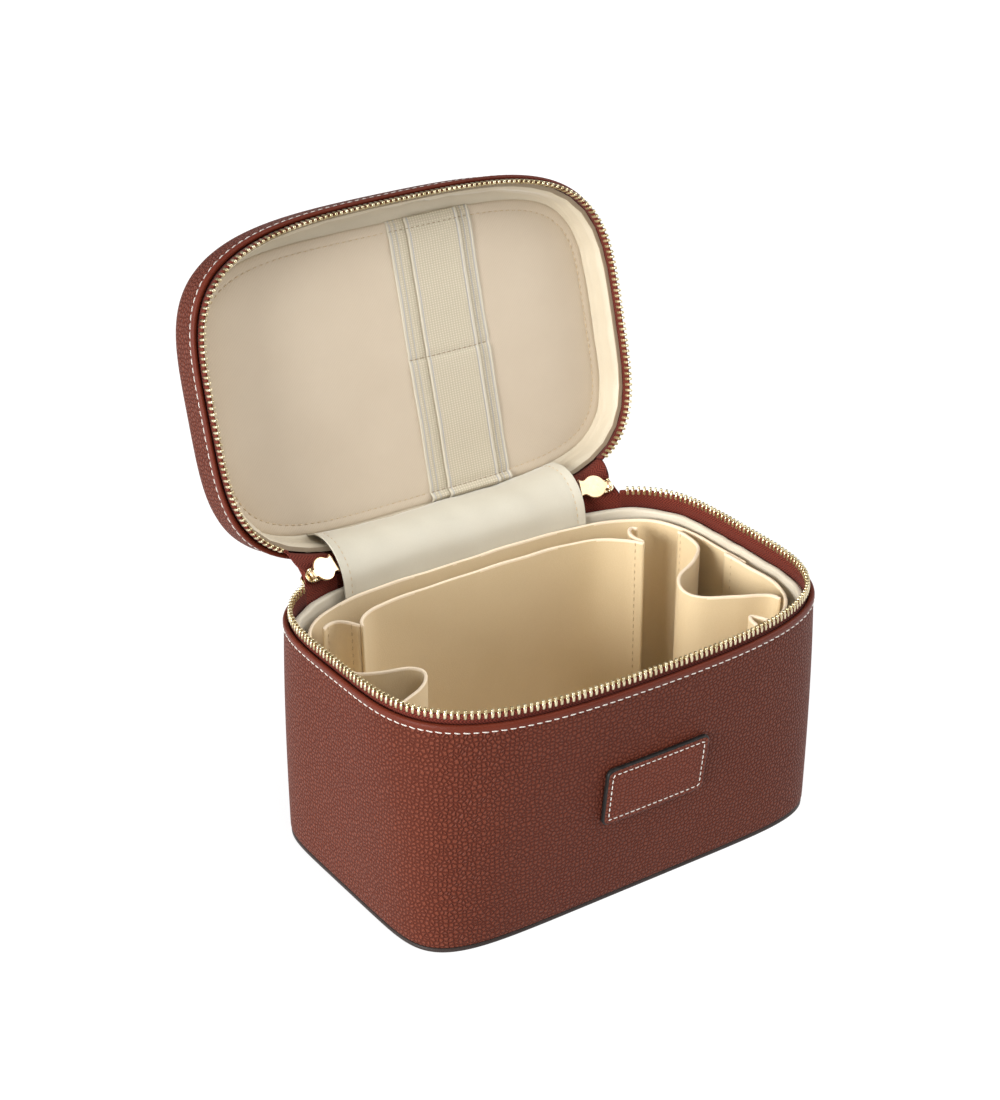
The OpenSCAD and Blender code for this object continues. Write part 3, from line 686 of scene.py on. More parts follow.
zip_side("base", 1, 97.0, 115.4, 0.0)
zip_side("lid", -1, 134.0, 119.3, 0.5, opened)


# ---- linings ----
def puckers(along, depth, shift=0.0):
    """Small uneven folds that run up a lining, from its running length."""
    return depth * (1.0 + 0.4 * np.sin(along / 4.1 + 1.7 * np.sin(along / 23 + shift))
                    + 0.25 * np.sin(along / 2.3 + shift) * np.sin(along / 31 + 1)
                    + 0.35 * np.sin(along / 13.7 + shift * 2))


def base_lining():
    """The base's lining: turned in at its top edge, with folds that die out on the way down."""
    t = LINING_TOP
    inset, heights = catmull([(3.0, t - 0.4), (3.5, t), (4.4, t - 0.05), (5.15, t - 0.7), (5.35, t - 2.9),
                              (5.4, 96), (5.4, 60), (5.4, 20), (5.6, 7.5), (6.6, 5.6), (10, 5.25)], 4).T
    rim = case_points(WALL_ANGLES, 5, t)
    along = lengths(rim)
    at_back_corners = np.exp(-((np.abs(rim[:, 0]) - 84) / 24) ** 2) * (rim[:, 1] > 0)
    livelier = 1 + 1.1 * at_back_corners
    loose = np.clip((heights - 84) / 18, 0, 1) * np.clip((t + 1.6 - heights) / 2.2, 0.15, 1)
    inset = inset[None] + (puckers(along, 0.4) * livelier)[:, None] * loose[None]
    near_top = np.clip((heights - t + 3.5) / 4, 0, 1)[None]
    waves = (puckers(along, 0.24, 2.0) * livelier)[:, None] * near_top
    inner = case_points(WALL_ANGLES[:, None], inset, heights)
    inner[..., 2] += waves
    outer = case_points(WALL_ANGLES[:, None], inset - 0.45, heights)
    outer[..., 2] += waves - 0.3 * near_top - 0.45 * np.clip((8 - heights) / 3, 0, 1)[None]
    outer[..., 2] = np.maximum(outer[..., 2], 4.62)
    over_floor = [case_points(WALL_ANGLES[:, None], (25, 45), z) for z in (5.2, 4.75)]
    front, back = np.concatenate([inner, over_floor[0]], 1), np.concatenate([outer, over_floor[1]], 1)
    m, n = front.shape[:2]
    faces = grid_faces(m, n, True) + [list(range(n - 1, m * n, n))]
    return Shape().layers(front, back, faces, list(range(0, m * n, n)))


def lid_lining():
    """The gathered lining of the lid's side: up from its rim, then turned in behind the panel's edge."""
    inset, z = catmull([(3.0, 125.2), (3.6, 124.55), (4.6, 124.6), (5.2, 126.0), (5.35, 129), (5.5, 132),
                        (5.9, 134)], 4).T
    folds = puckers(lengths(case_points(WALL_ANGLES, 5, 130.0)), 0.6, 4.0)[:, None]
    inset = inset[None] + folds * np.clip((z - 124.4) / 3, 0.15, 1)[None]
    side = case_points(WALL_ANGLES[:, None], inset, z)
    turn = np.linspace(0, 1, 9)[1:] * math.pi / 2
    edge = side[:, -1:, :2]
    plan = edge + (panel_points(WALL_ANGLES, 1.6, 0)[:, None, :2] - edge) * (1 - np.cos(turn))[None, :, None]
    deep = 134 + (PANEL_Z + 1.3 - 134) * np.sin(turn)[None] + 0.25 * folds * np.sin(2 * turn)[None]
    turned_in = np.concatenate([plan, deep[..., None]], -1)
    behind = turned_in * [1.004, 1.004, 1] + [0, 0, 0.4]
    back = np.concatenate([case_points(WALL_ANGLES[:, None], inset - 0.42, z + 0.25), behind], 1)
    return Shape().loop(np.concatenate([side, turned_in, back[:, ::-1]], 1))


# The base's lining takes the lightened copy of the satin (painted light), and the lid's takes the darkened
# copy (painted shade).
base_lining().make("base_lining_cloth", "base", "lining", [BASE_LINING_PAINTED_LIGHT], ["base_lining"])
lid_lining().make("lid_lining_cloth", "lid", "lining", [LID_LINING_PAINTED_SHADE], ["lid_lining"], opened)


# ---- lid ----
def shoulder(depth):
    """The rounding from side to top. Two of its rings nearly meet, where the hide's layout changes over."""
    turn = np.radians([0, 11.25, 22.5, 33.75, 44.95, 45.05, 56.25, 67.5, 78.75, 90])
    r = TOP_RADIUS - depth
    return [(depth + r * (1 - math.cos(t)), SHOULDER + r * math.sin(t)) for t in turn]


def lid_skin():
    """The lid's shell: from inside its top, down its inner face, and up its outer face to the top."""
    inside = [(LEATHER, 126.5), (LEATHER, 130), (LEATHER, 135), *shoulder(LEATHER)]
    inside.append((45, CLOSED_HEIGHT - LEATHER))
    side = [(0.5, 126.5), (0.14, 127.0), (0.04, 127.8), (0.0, 129.5), (0.0, 132), (0.0, 135.5)]
    rounding = shoulder(0.0)
    top = [(i, CLOSED_HEIGHT) for i in (14, 20, 30, 45, 60)]
    rings = np.array([case_points(WALL_ANGLES, i, z) for i, z in inside[::-1] + side + rounding + top])
    runs = rings.copy()
    down = lengths(rings[:, 0])
    side_rings = len(inside) + len(side) + len(rounding) // 2
    round_lid = lengths(case_points(WALL_ANGLES, 0, SHOULDER))
    runs[:side_rings] = np.stack(np.broadcast_arrays(round_lid, down[:side_rings, None], 0.0), -1)
    return Shape().tube(rings, runs=runs)


lid_skin().make("lid_skin", "lid", "leather_pebbled", [PEBBLED], ["lid_leather"], opened)
LID_BINDING = [(inset, lid_height(z)) for inset, z in BINDING]
wall("lid_binding", "lid", "leather_smooth", SMOOTH, LID_BINDING, "lid_rim_binding", opened)
rim_threads("lid", lid_height(RIM_STITCH_Z), -1, opened)


def lid_panel():
    """The padded panel: a crowned cloth-covered board with a stitched line that pulls it in."""
    angles = even_angles(lambda a: panel_points(a, PANEL_SEAM, 0), 400)
    along = lengths(panel_points(angles, PANEL_SEAM, 0))
    hidden = [(8, PANEL_TOP), (2.0, PANEL_TOP), (0.6, PANEL_TOP - 1.2), (0.0, PANEL_TOP - 3)]
    shown = [(0.0, 3.2), (0.1, 1.7), (0.5, 0.85), (1.3, 0.42), (2.6, 0.28), (3.8, 0.3), (4.6, 0.4),
             (5.0, 0.48), (5.4, 0.4), (6.2, 0.26), (8.0, 0.14), (12, 0.04), (20, 0), (32, 0), (48, 0)]
    rings = [panel_points(angles, inset, z) for inset, z in hidden]
    for inset, depth in shown:
        ring = panel_points(angles, inset, PANEL_Z + depth)
        gathers = 0.12 * np.sin(along * TURN / 3.3 + 0.6) * (inset < 9)
        waves = 0.1 * np.sin(along / 7.7 + np.sin(along / 19))
        ring[:, 2] += math.exp(-((inset - 6.5) / 4.5) ** 2) * (gathers + waves)
        rings.append(ring)
    return Shape().tube(rings)


panel = lid_panel().make("lid_padded_panel", "lid", "panel_fabric", [PANEL], ["lid_panel"], opened)


def panel_threads():
    """The stitches round the panel, left out where the elastic bands cross."""
    path = panel_points(np.linspace(0, TURN, 6001), PANEL_SEAM, PANEL_Z + 0.3)
    here, direction = places_along(path, np.arange(0, lengths(path)[-1] - 1.5, 3.3))
    along, out, up = frames(direction)
    keep = ~((here[:, 0] > -1) & (here[:, 0] < 46))
    shape = Shape()
    repeat(shape, here[keep], [a[keep] for a in (along, -up, out)], SMALL_STITCH)
    return shape


panel_threads().make("lid_panel_threads", "lid", "thread", [THREAD_WARM], ["lid_panel_stitching"], opened)


# ---- elastic bands ----
def band_section(width, ribs):
    """Places, rise and materials across a band. ribs: [in from the edge, width, rise, material]."""
    across, rise, index = [0.0], [0.0], []
    for start, wide, high, kind in ribs:
        for share, lift in ((0.0, 0.0), (0.2, 0.7), (0.5, 1.0), (0.8, 0.7), (1.0, 0.0)):
            if start + share * wide > across[-1] + 1e-6:
                across.append(start + share * wide)
                rise.append(high * lift)
                index.append(kind)
    fill = np.linspace(across[-1], width - across[-1], 24)[1:-1]
    across = np.array(across + list(fill) + [width - a for a in reversed(across)])
    index = index + [0] * (len(fill) + 1) + index[::-1]
    return across, np.array(rise + [0.0] * len(fill) + rise[::-1]), index


def band(x_from, x_to, z_from, ribs):
    """A woven band across the panel, held at both ends and in the middle, and tucked in at its ends."""
    middle = (x_from + x_to) / 2
    across, rise, index = band_section(x_to - x_from, ribs)
    y = np.concatenate([np.linspace(-PANEL_Y, -61, 10), np.linspace(-60, 59, 110),
                        np.linspace(60, PANEL_Y, 16)])
    sag = 0.18 * np.sin(y / 11.0) + 0.1 * np.sin(y / 4.7 + 1)
    held = 0.55 * sum(np.exp(-((y - at) / reach) ** 2) for at, reach in ((-61, 1.6), (61, 1.6), (-1.5, 1.3)))
    tuck = np.clip((y - 61.5) / 4.7, 0, 1)
    puff = 1.3 * np.sin(math.pi * tuck) - 2.2 * np.clip(tuck - 0.62, 0, 1)
    tuck_top = np.clip((-y - 62) / 4.2, 0, 1)
    z = z_from - (0.35 + sag - held + puff - 1.4 * tuck_top)
    narrow = 1 - 0.012 * np.exp(-((np.abs(y) - 30) / 18) ** 2)
    x = middle + (across - (x_to - x_from) / 2) * narrow[:, None]
    front, back = (np.stack(np.broadcast_arrays(x, y[:, None], z_), -1)
                   for z_ in (z[:, None] - rise, z[:, None] + 0.55))
    m, n = x.shape
    corner = m * n - 1
    edge = [*range(n - 1), *range(n - 1, corner, n)]
    edge += [corner - v for v in edge]
    return Shape().layers(front, back, grid_faces(m, n), edge, index * (m - 1))


WIDE_RIBS = [(0.0, 1.3, 0.14, 1), (1.3, 0.6, -0.06, 2), (1.9, 2.3, 0.08, 0), (4.2, 0.5, -0.08, 2)]
NARROW_RIBS = [(0.0, 1.3, 0.18, 1), (1.3, 0.6, -0.08, 2)]
BAND_PAINTS = [ELASTIC, ELASTIC_EDGE, ELASTIC_LINE]
wide_band = band(0.0, 45.0, PANEL_Z - 0.15, WIDE_RIBS).make(
    "elastic_wide_band", "lid", "elastic", BAND_PAINTS, ["elastic_wide"], opened)
narrow_band = band(9.5, 38.0, PANEL_Z - 1.15, NARROW_RIBS).make(
    "elastic_narrow_band", "lid", "elastic", BAND_PAINTS, ["elastic_narrow"], opened)


def elastic_threads():
    """Three rows of stitches across the bands: one near each end and one in the middle."""
    shape = Shape()
    for row, lift in ((-61.2, 0.15), (-1.5, 0.05), (61.2, 0.15)):
        x = np.arange(1.4, 44, 2.9)
        over_narrow = (x > 8.6) & (x < 38.2)
        z = np.where(over_narrow, PANEL_Z - 1.35, PANEL_Z - 0.38) + lift
        along, out, up = frames(np.tile([1.0, 0, 0], (len(x), 1)))
        here = np.stack([x, np.full(len(x), row), z], -1)
        repeat(shape, here, (along, -up, out), SMALL_STITCH, (0.95, 1, 1))
    return shape


elastic_threads().make("elastic_threads", "lid", "thread", [THREAD_BROWN], ["elastic_stitching"], opened)


# ---- hinge ----
def hinge_points(path, cuts, xs, wave=0.0):
    """A sheet that crosses the hinge: path is [y, z, share of the lid's turn] at the case's middle."""
    curve = catmull(path, cuts)
    turn = np.radians(curve[:, 2] * OPEN_ANGLE)
    shift = back_curve(xs)[:, None]
    y = curve[None, :, 0] - shift * np.cos(turn)
    z = curve[None, :, 1] + shift * np.sin(turn)
    points = np.stack(np.broadcast_arrays(xs[:, None], y, z), -1)
    d = np.gradient(points, axis=1)
    normal = np.stack([0 * y, -d[..., 2], d[..., 1]], -1)
    normal /= np.linalg.norm(normal, axis=-1, keepdims=True)
    s = np.cumsum(np.linalg.norm(d, axis=-1), axis=1)
    x = xs[:, None]
    fold = (0.5 * np.sin(x / 9.0 + 1.1) * np.sin(s / 7.5 + x / 40)
            + 0.35 * np.sin(x / 21.0 - 0.4) * np.sin(s / 12 + 2) + 0.25 * np.sin(x / 3.1 + s / 9))
    free = np.clip((curve[:, 1] - 104) / 8, 0, 1)[None]
    return points + normal * (fold * wave * free)[..., None], normal, curve


def sheet_shape(points, normal, thick, runs):
    section = np.concatenate([points + normal * thick / 2, (points - normal * thick / 2)[:, ::-1]], 1)
    return Shape().tube(section, runs=np.concatenate([runs, runs[:, ::-1]], 1))


def laid_flat(points, along):
    """Places on the flat sheet: across the case, and along the sheet's path."""
    return np.stack(np.broadcast_arrays(points[..., 0], along[None], 0.0), -1)


GUSSET_PATH = [(67.3, 88, 0), (67.3, 98, 0), (67.4, 106, 0), (69, 113.5, 0.1), (74, 119.5, 0.4),
               (81, 122.8, 0.8), (89, 122.4, 1), (94.4, 120, 1), (97.2, 118.5, 1)]
edges = np.array([GUSSET_HALF, GUSSET_HALF - 0.3])
xs = np.concatenate([-edges, np.linspace(-65.4, 65.4, 120), edges[::-1]])
points, normal, curve = hinge_points(GUSSET_PATH, 8, xs, GUSSET_WAVE)
hem = np.exp(-((np.abs(xs) - GUSSET_SEAM) / 0.8) ** 2)
points = points - normal * (0.3 * hem)[:, None, None]
gusset_along = lengths(curve[:, :2])
gusset = sheet_shape(points, normal, 0.7, laid_flat(points, gusset_along)).make(
    "hinge_gusset_cloth", None, "lining", [GUSSET], ["hinge_gusset"])
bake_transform(gusset)


def gusset_threads():
    """A row of stitches down each side of the gusset."""
    shape = Shape()
    for side in (-1, 1):
        xs = side * np.array([GUSSET_SEAM, GUSSET_SEAM + 0.1])
        line, line_normal, _ = hinge_points(GUSSET_PATH, 24, xs, GUSSET_WAVE)
        line = line[0] + line_normal[0] * 0.12
        here, direction = places_along(line, np.arange(14, lengths(line)[-1] - 3, 3.2), 0.3)
        along = direction / np.linalg.norm(direction, axis=1)[:, None]
        across = np.tile([1.0, 0, 0], (len(here), 1))
        repeat(shape, here, (along, -np.cross(along, across), across), SMALL_STITCH)
    return shape


seams = gusset_threads().make("hinge_gusset_threads", None, "lining", [THREAD_WARM])
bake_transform(seams)

HINGE_STRIP_PATH = [(76.9, 92, 0), (77, 99, 0), (77.2, 106, 0.05), (78, 110, 0.25), (80.2, 112.4, 0.7),
                    (84.2, 112.3, 0.95), (91.5, 110, 1)]
xs = np.concatenate([[-66.0, -65.6], np.linspace(-65, 65, 90), [65.6, 66.0]])
points, normal, curve = hinge_points(HINGE_STRIP_PATH, 8, xs)
strip = sheet_shape(points, normal, 1.1, laid_flat(points, lengths(curve[:, :2]))).make(
    "hinge_strip", None, "leather_pebbled", [PEBBLED], ["hinge_leather"])
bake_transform(strip)

# The zip's tape ends: folded with the hinge, and drawn in at the fold
TAPE_END_PATH = [(73.3, 105.2, 0), (73.3, 108, 0), (73.35, 110.2, 0.01), (73.7, 112.2, 0.05),
                 (74.75, 111.95, 0.4), (74, 112.7, 0.75), (76.85, 117, 1), (81, 116.4, 1)]
NOTCH = 3.2
for side, hand in ((-1, "left"), (1, "right")):
    xs = side * np.linspace(66.9, TAPE_RUN_END, 34)
    points, normal, curve = hinge_points(TAPE_END_PATH, 8, xs)
    notch = NOTCH * np.exp(-((curve[:, 2] - 0.5) / 0.3) ** 2)
    points[..., 0] -= side * notch[None] * np.clip((np.abs(xs) - 72) / 15, 0, 1)[:, None]
    runs = laid_flat(points, lengths(points[10]))[..., [0, 2, 1]]
    tape_end = sheet_shape(points, normal, TAPE, runs).make(
        f"zip_tape_end_{hand}", None, "zip_tape", [TAPE_CLOTH], ["zip_tape_ends"])
    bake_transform(tape_end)


# ---- sliders and pulls ----
PIN_X, PIN_Y = -3.0, -3.9
SLIDER_HALF, SLIDER_END = 3.3, 2.2
PLATE_FROM, PLATE_TO = 1.5, 2.5
PULL_RADIUS, PULL_THICK, TAIL_X = 5.6, 1.2, 11.7
PULL_MIDDLE = PIN_X + 1.7 + PULL_RADIUS


def slider_place(side):
    """From the slider's own axes to the case: side is 1 on the left and -1 on the right."""
    yaw, tip = math.radians(SLIDER_YAW), math.radians(SLIDER_LEAN)

    def place(points):
        x, y, z = points[..., 0], points[..., 1], points[..., 2]
        y, z = y * math.cos(tip) - z * math.sin(tip), y * math.sin(tip) + z * math.cos(tip)
        x, y = x * math.cos(yaw) - y * math.sin(yaw), x * math.sin(yaw) + y * math.cos(yaw)
        return np.stack([side * (SLIDER_AT[0] + x), SLIDER_AT[1] + y, SLIDER_AT[2] + z], -1)

    return place


def bevelled_plate(shape, outline, y_from, y_to, bevel):
    """A flat plate cut to an outline in x and z, with rounded edges."""
    outline = np.asarray(outline, float)
    out = normals_2d(np.vstack([outline[-1], outline, outline[0]]))[1:-1]
    x, z = outline.T
    area = np.sum(x * np.roll(z, -1) - np.roll(x, -1) * z)
    out = out * (-1 if area > 0 else 1)
    round_over = ((1.9, 0.0), (1.3, 0.0), (0.9, 0.02), (0.45, 0.2), (0.12, 0.55), (0.0, 1.0))
    levels = [(share, y_from + bevel * deep) for share, deep in round_over]
    levels += [(share, y_to - bevel * deep) for share, deep in reversed(round_over)]
    rings = [np.insert(outline - out * share * bevel, 1, y, axis=1) for share, y in levels]
    shape.tube(rings)


def round_bar(shape, centre, axis, radius, half_length):
    """A pin with rounded ends along y or z."""
    a = np.linspace(0, TURN, 20, endpoint=False)
    rings = []
    for t, r in ((-1, 0.6), (-0.96, 0.9), (-0.88, 1.0), (0, 1.0), (0.88, 1.0), (0.96, 0.9), (1, 0.6)):
        u, v, w = radius * r * np.cos(a), radius * r * np.sin(a), np.full(20, t * half_length)
        rings.append(np.stack([u, v, w] if axis == "z" else [u, w, v], -1) + centre)
    shape.tube(rings)


def slider_shape():
    """Two plates, the post between them, and the lugs that hold the pin."""
    shape = Shape()
    a = np.linspace(0, TURN, 48, endpoint=False)
    x = np.sign(np.cos(a)) * np.abs(np.cos(a)) ** 0.75 * (SLIDER_END + SLIDER_HALF)
    z = np.sign(np.sin(a)) * np.abs(np.sin(a)) ** 0.62 * SLIDER_HALF * (1 + 0.06 * np.cos(a))
    outline = np.stack([x, z], -1)
    bevelled_plate(shape, outline, -PLATE_TO, -PLATE_FROM, 0.25)
    bevelled_plate(shape, outline, PLATE_FROM, PLATE_TO, 0.25)
    round_bar(shape, [PIN_X, 0, 0], "y", 1.0, PLATE_FROM + 0.4)
    lug = [(-0.75, -1.5), (0.75, -1.5), (0.9, -0.2), (0.6, 0.55), (0, 0.8), (-0.6, 0.55), (-0.9, -0.2)]
    u, v = catmull(lug + lug[:1], 4)[:-1].T
    for side in (-1, 1):
        shape.tube([np.stack(np.broadcast_arrays(PIN_X + u * grow, PIN_Y - v * grow, side * 2.75 + z), -1)
                    for z, grow in ((-0.5, 0.85), (-0.35, 1.0), (0.35, 1.0), (0.5, 0.85))])
    round_bar(shape, [PIN_X, PIN_Y, 0], "z", 0.6, 3.3)
    return shape


def pull_shape():
    """A round end on the pin, a waist and a flared tail with a straight end."""
    turn = np.radians(np.linspace(180 - 24, 62, 16))
    half = [(PIN_X - 0.2, 1.75), (PULL_MIDDLE - PULL_RADIUS * 0.96, 1.75)]
    half += [(PULL_MIDDLE + PULL_RADIUS * math.cos(t), PULL_RADIUS * math.sin(t)) for t in turn]
    half += catmull([(PULL_MIDDLE + 2.9, 4.75), (PULL_MIDDLE + 4.6, 3.6), (PULL_MIDDLE + 6.1, 3.75),
                     (TAIL_X - 0.25, 4.55)], 5).tolist()
    half += [(TAIL_X, 4.2)]
    shape = Shape()
    bevelled_plate(shape, half + [(x, -z) for x, z in reversed(half)],
                   PIN_Y - PULL_THICK / 2, PIN_Y + PULL_THICK / 2, 0.3)
    a = np.linspace(0, TURN, 24, endpoint=False)
    barrel = ((-1.9, 0.68), (-1.9, 0.95), (-1.75, 1.12), (1.75, 1.12), (1.9, 0.95), (1.9, 0.68))
    shape.loop([np.stack(np.broadcast_arrays(PIN_X + r * np.cos(a), PIN_Y + r * np.sin(a), z), -1)
                for z, r in barrel])
    return shape


for side, hand in ((1, "left"), (-1, "right")):
    slider, pull = f"slider_{hand}", f"pull_{hand}"
    slider_shape().make(f"{slider}_body", slider, "zip_metal", [ZIP_METAL], [slider], slider_place(side))
    pull_shape().make(f"{pull}_plate", pull, "pull_metal", [PULL_METAL], [pull], slider_place(side))


# ---- label patch ----
def rounded_rectangle(half_w, half_h, radius):
    """A rounded rectangle's outline, counter-clockwise, with points along its sides."""
    points = []
    for k, (cx, cy) in enumerate(((1, 1), (-1, 1), (-1, -1), (1, -1))):
        for t in np.linspace(0, math.pi / 2, 8) + k * math.pi / 2:
            points.append((cx * (half_w - radius) + radius * math.cos(t),
                           cy * (half_h - radius) + radius * math.sin(t)))
    points.append(points[0])
    return evenly(np.array(points), 1.0)[:-1]


def on_front_wall(points):
    """From the label's own plan to the front wall, which leans and bows."""
    x, y, z = points[..., 0], points[..., 1], points[..., 2]
    low, high = (case_points(-math.pi / 2, 0.0, LABEL_Z + up * LABEL_HEIGHT / 2) for up in (-1, 1))
    turn = math.pi / 2 + math.atan2(low[1] - high[1], high[2] - low[2])
    y, z = y * math.cos(turn) - z * math.sin(turn), y * math.sin(turn) + z * math.cos(turn)
    start = case_points(-math.pi / 2, -0.35, LABEL_Z)
    bow = 0.22 * (x / (LABEL_WIDTH / 2)) ** 2
    return np.stack([x + start[0], y + bow + start[1], z + start[2]], -1)


def label_leather():
    """The patch: a painted edge (material 1), and a face with a groove under its stitches."""
    half = np.array([LABEL_WIDTH / 2, LABEL_HEIGHT / 2])
    outline = rounded_rectangle(*half, 3.0)
    painted = [(0.25, -0.3), (0.0, 0.0), (-0.12, 0.8), (-0.05, 1.4), (0.15, 1.72), (0.5, 1.9)]
    face = [(0.9, 1.96), (1.6, 2.0), (2.2, 1.95), (2.6, 1.78), (3.0, 1.95), (3.8, 2.05), (6.5, 2.1),
            (12.0, 2.1)]
    rings = [np.insert(outline * (half - inset) / half, 2, z, axis=1) for inset, z in painted + face]
    sides = len(outline)
    index = [1] * sides * (len(painted) - 1) + [0] * sides * len(face) + [1, 0]
    return Shape().add(rings, tube_faces(len(rings), sides), index)


def label_threads():
    """The stitches round the patch, in its groove."""
    line = rounded_rectangle(LABEL_WIDTH / 2 - 2.6, LABEL_HEIGHT / 2 - 2.6, 1.2)
    line = np.insert(np.vstack([line, line[:1]]), 2, 1.98, axis=1)
    round_line = lengths(line)[-1]
    count = int(round(round_line / 2.95))
    here, direction = places_along(line, (np.arange(count) + 0.5) * round_line / count, 0.3)
    along, out, up = frames(direction)
    shape = Shape()
    repeat(shape, here, (along, up, out), LABEL_STITCH)
    return shape


label_leather().make(
    "label_leather", "base", "leather_pebbled", [LABEL_FACE, EDGE], ["label_patch"], on_front_wall)
label_threads().make("label_threads", "base", "thread", [THREAD], ["label_stitching"], on_front_wall)


# ---- insert ----
def upright_sheet(line, wave=0.0):
    """An upright sheet along a line in plan, with a rounded cut edge on top (material 1)."""
    half, top, foot = INSERT_SHEET / 2, INSERT_TOP, INSERT_FOOT
    rounding = [(-half, 0.55), (-0.62, 0.22), (-0.32, 0.04), (0.0, 0.0), (0.32, 0.04), (0.62, 0.22),
                (half, 0.55)]
    section = [(-half, z) for z in np.linspace(foot, top - 1.2, 9)]
    section += [(o, top - d) for o, d in rounding]
    section += [(half, z) for z in np.linspace(top - 1.2, foot, 9)]
    s = lengths(line)
    outward = normals_2d(line)
    thick = np.ones(len(s))
    thick[[0, -1]] = 0.45
    thick[[1, -2]] = 0.92
    lift = 0.22 * np.sin(s / 12.0) + 0.12 * np.sin(s / 4.3)
    rings = []
    for o, z in section:
        bend = wave * np.sin(s / 17) * (1 - (z / top) ** 2)
        x, y = (line + outward * (o * thick + bend)[:, None]).T
        ring = insert_place(x, y, np.full(len(s), z))
        ring[:, 2] += lift * (z > top - 2)
        rings.append(ring)
    return Shape().tube(np.stack(rings, 1), index=lambda middle: int(middle[2] > top - 0.95))


def strip_sheet(path, wave=0.0):
    return upright_sheet(evenly(catmull(path, 14), 0.8), wave)


def band_sheet():
    """The outer wall: one long sheet whose ends overlap on the right, the inner end over the outer one."""
    angles = np.linspace(1.5, -365.5, 900)
    lap = INSERT_SHEET / 2 + (INSERT_SHEET + 0.12) * np.clip((angles + 19) / 11, 0, 1) ** 1.5
    lap += 0.5 * np.clip((angles + 0.3) / 1.8, 0, 1) ** 2
    return upright_sheet(evenly(insert_points(np.radians(angles), lap, INSERT_TOP)[:, :2], 1.1))


def insert_floor():
    """The insert's floor: a flat sheet with a rounded edge."""
    angles = even_angles(lambda a: insert_points(a, 0, 10.0), 200)
    levels = ((5, 5.6), (0.5, 5.6), (0.05, 5.85), (0.0, 6.3), (0.05, 6.8), (0.5, 7.1), (5, 7.1), (20, 7.1))
    return Shape().tube([insert_points(angles, i, 0.0) + [0, 0, z] for i, z in levels])


def insert_part(shape, name, cad_node, materials=(SHEET, CUT_EDGE)):
    shape.make(name, "organizer", "insert_sheet", materials, [cad_node])


insert_part(strip_sheet([(-73.6, 38), (-72, 42), (-67, 46.5), (-58, 50), (-37, 52.4), (-8, 53), (21, 52.4),
                         (41, 52), (59, 48.5), (71, 40), (76.5, 32)], 0.5),
            "organizer_divider_sheet", "organizer_back_divider")
insert_part(strip_sheet([(-74.2, 39.6), (-78, 45.5), (-82, 48.2), (-86.5, 47.4), (-89.5, 45)]),
            "organizer_left_link_sheet", "organizer_left_link")
insert_part(strip_sheet([(77.7, 33.8), (76.4, 37.8), (76.5, 41.9), (78.2, 46), (81.2, 48.2), (83.2, 45.8)]),
            "organizer_right_link_sheet", "organizer_right_link")
insert_part(strip_sheet([(-99.4, 12), (-98.6, 7), (-96, 3), (-88, -0.5), (-77, -4), (-73, -9.5), (-76, -16),
                         (-83, -21.5), (-92, -25.5), (-97, -28), (-98.6, -33)]),
            "organizer_left_loop_sheet", "organizer_left_loop")
insert_part(strip_sheet([(97.2, 33), (97.6, 27), (95, 15), (84, 5), (70, -2.5), (62.6, -14), (65, -24),
                         (78, -33), (88, -37.6), (92.4, -41.2), (93.3, -45.6)]),
            "organizer_right_pocket_sheet", "organizer_right_pocket")
insert_part(strip_sheet([(69, -58.6), (69.6, -54), (71.6, -50.8), (74, -53.5), (76, -57.4)]),
            "organizer_front_tab_sheet", "organizer_front_tab")
insert_part(band_sheet(), "organizer_band_sheet", "organizer_wall")
insert_part(insert_floor(), "organizer_floor_sheet", "organizer_floor", [SHEET])


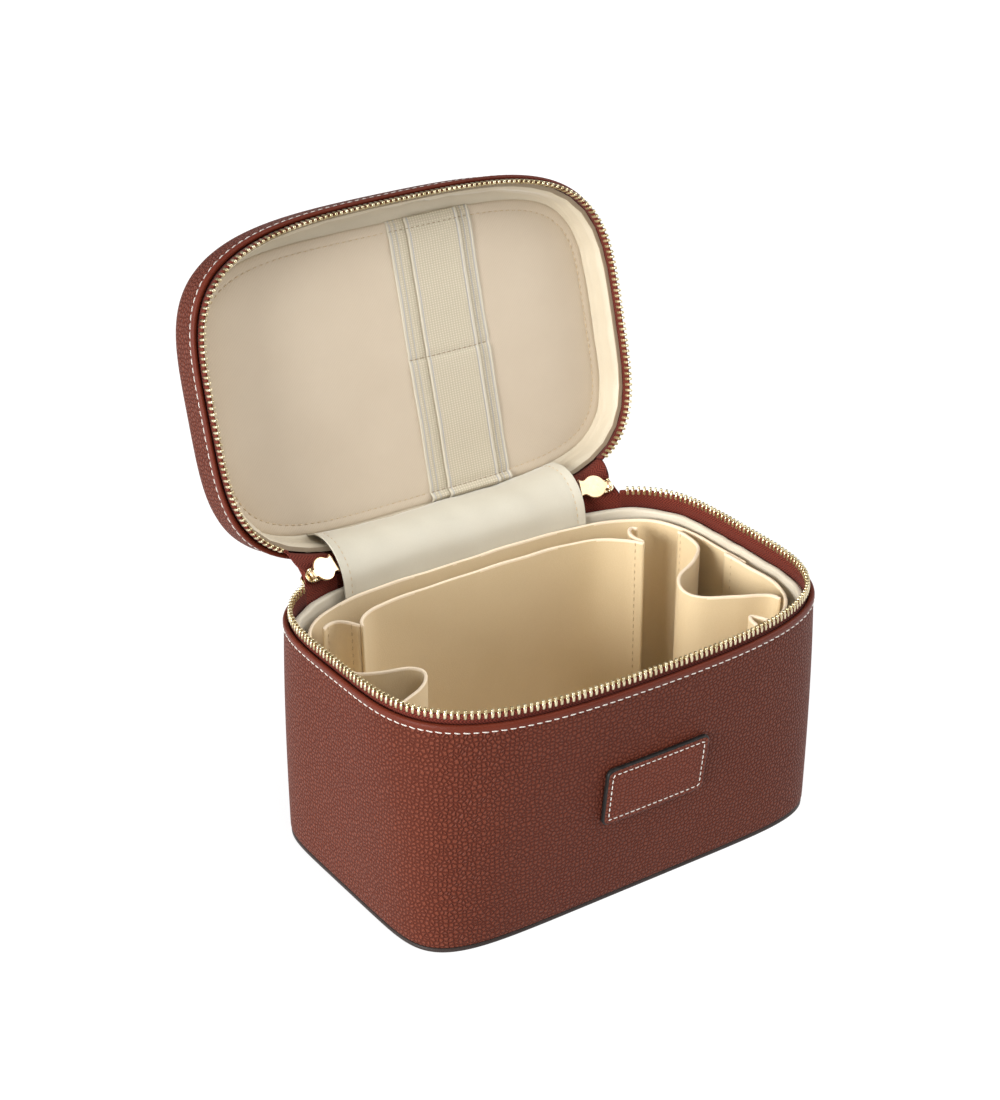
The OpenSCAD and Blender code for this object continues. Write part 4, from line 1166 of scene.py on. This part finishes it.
def insert_threads():
    """Rows of stitches down the upright sheets: [x, y] in plan, and the way out of the face they are on."""
    band_end = insert_points(math.radians(-1.5), 2 * INSERT_SHEET + 0.1, INSERT_TOP)
    rows = [(band_end[0], band_end[1], -1, -0.1), (73.6, 35.2, -0.82, -0.57), (-77.0, 42.2, -0.84, -0.54),
            (-86.2, 46.65, 0.1, -1), (96.8, 30.5, -1, 0.05)]
    z = np.arange(INSERT_TOP - 1.5, 30.0, -3.6)
    up = np.tile([0, 0, 1.0], (len(z), 1))
    shape = Shape()
    for x, y, out_x, out_y in rows:
        out = np.tile([out_x, out_y, 0.0], (len(z), 1)) / math.hypot(out_x, out_y)
        repeat(shape, insert_place(x + 0 * z, y + 0 * z, z), (up, out, np.cross(up, out)), SMALL_STITCH)
    return shape


insert_threads().make("organizer_threads", "organizer", "thread", [THREAD_WARM], ["organizer_stitching"])


# ---- stage ----
FLOOR = 24
floor_mesh = bpy.data.meshes.new("floor")
floor_mesh.from_pydata([(-FLOOR, -FLOOR, 0), (FLOOR, -FLOOR, 0), (FLOOR, FLOOR, 0), (-FLOOR, FLOOR, 0)], [],
                       [(0, 1, 2, 3)])
floor = link("floor", floor_mesh)
floor_paint = Paint("floor_paint", Roughness=0.9, Specular_IOR_Level=0.0,
                    Emission_Color=(1.0, 1.0, 1.0, 1.0), Emission_Strength=0.82)
floor_tone = floor_paint.mix(floor_paint.noise(floor_paint.place(), 3.0), "909090", "8c8c8c")
floor_mesh.materials.append(floor_paint.finish(floor_tone))

world = bpy.data.worlds.new("studio")
bpy.context.scene.world = world
world.use_nodes = True
world.node_tree.nodes["Background"].inputs["Color"].default_value = (1.0, 1.0, 1.0, 1.0)
world.node_tree.nodes["Background"].inputs["Strength"].default_value = 0.34


def point(made, way):
    """Turns a light or the camera to look this way."""
    made.rotation_mode = "QUATERNION"
    made.rotation_quaternion = Vector(way).to_track_quat("-Z", "Y")


def sun(name, towards, strength, softness):
    """A distant light: towards is the way to it, and softness its width in degrees."""
    light = bpy.data.lights.new(name, "SUN")
    light.energy, light.angle = strength, math.radians(softness)
    point(link(name, light), -Vector(towards))


sun("key", (-1.0, -0.15, 0.2), 5.2, 34)
sun("top", (0.05, -0.5, 1.0), 1.05, 50)
sun("side", (1.0, -0.32, 0.5), 1.7, 40)

camera_data = bpy.data.cameras.new("camera")
camera_data.lens, camera_data.sensor_width = 76.31, 36.0
camera_data.clip_start, camera_data.clip_end = 0.05, 50.0
camera = link("camera", camera_data)
camera.location = (-0.52824, -0.73010, 0.59655)
point(camera, (0.50378, 0.73403, -0.45542))
bpy.context.scene.camera = camera
bpy.context.scene.view_settings.view_transform = "Standard"
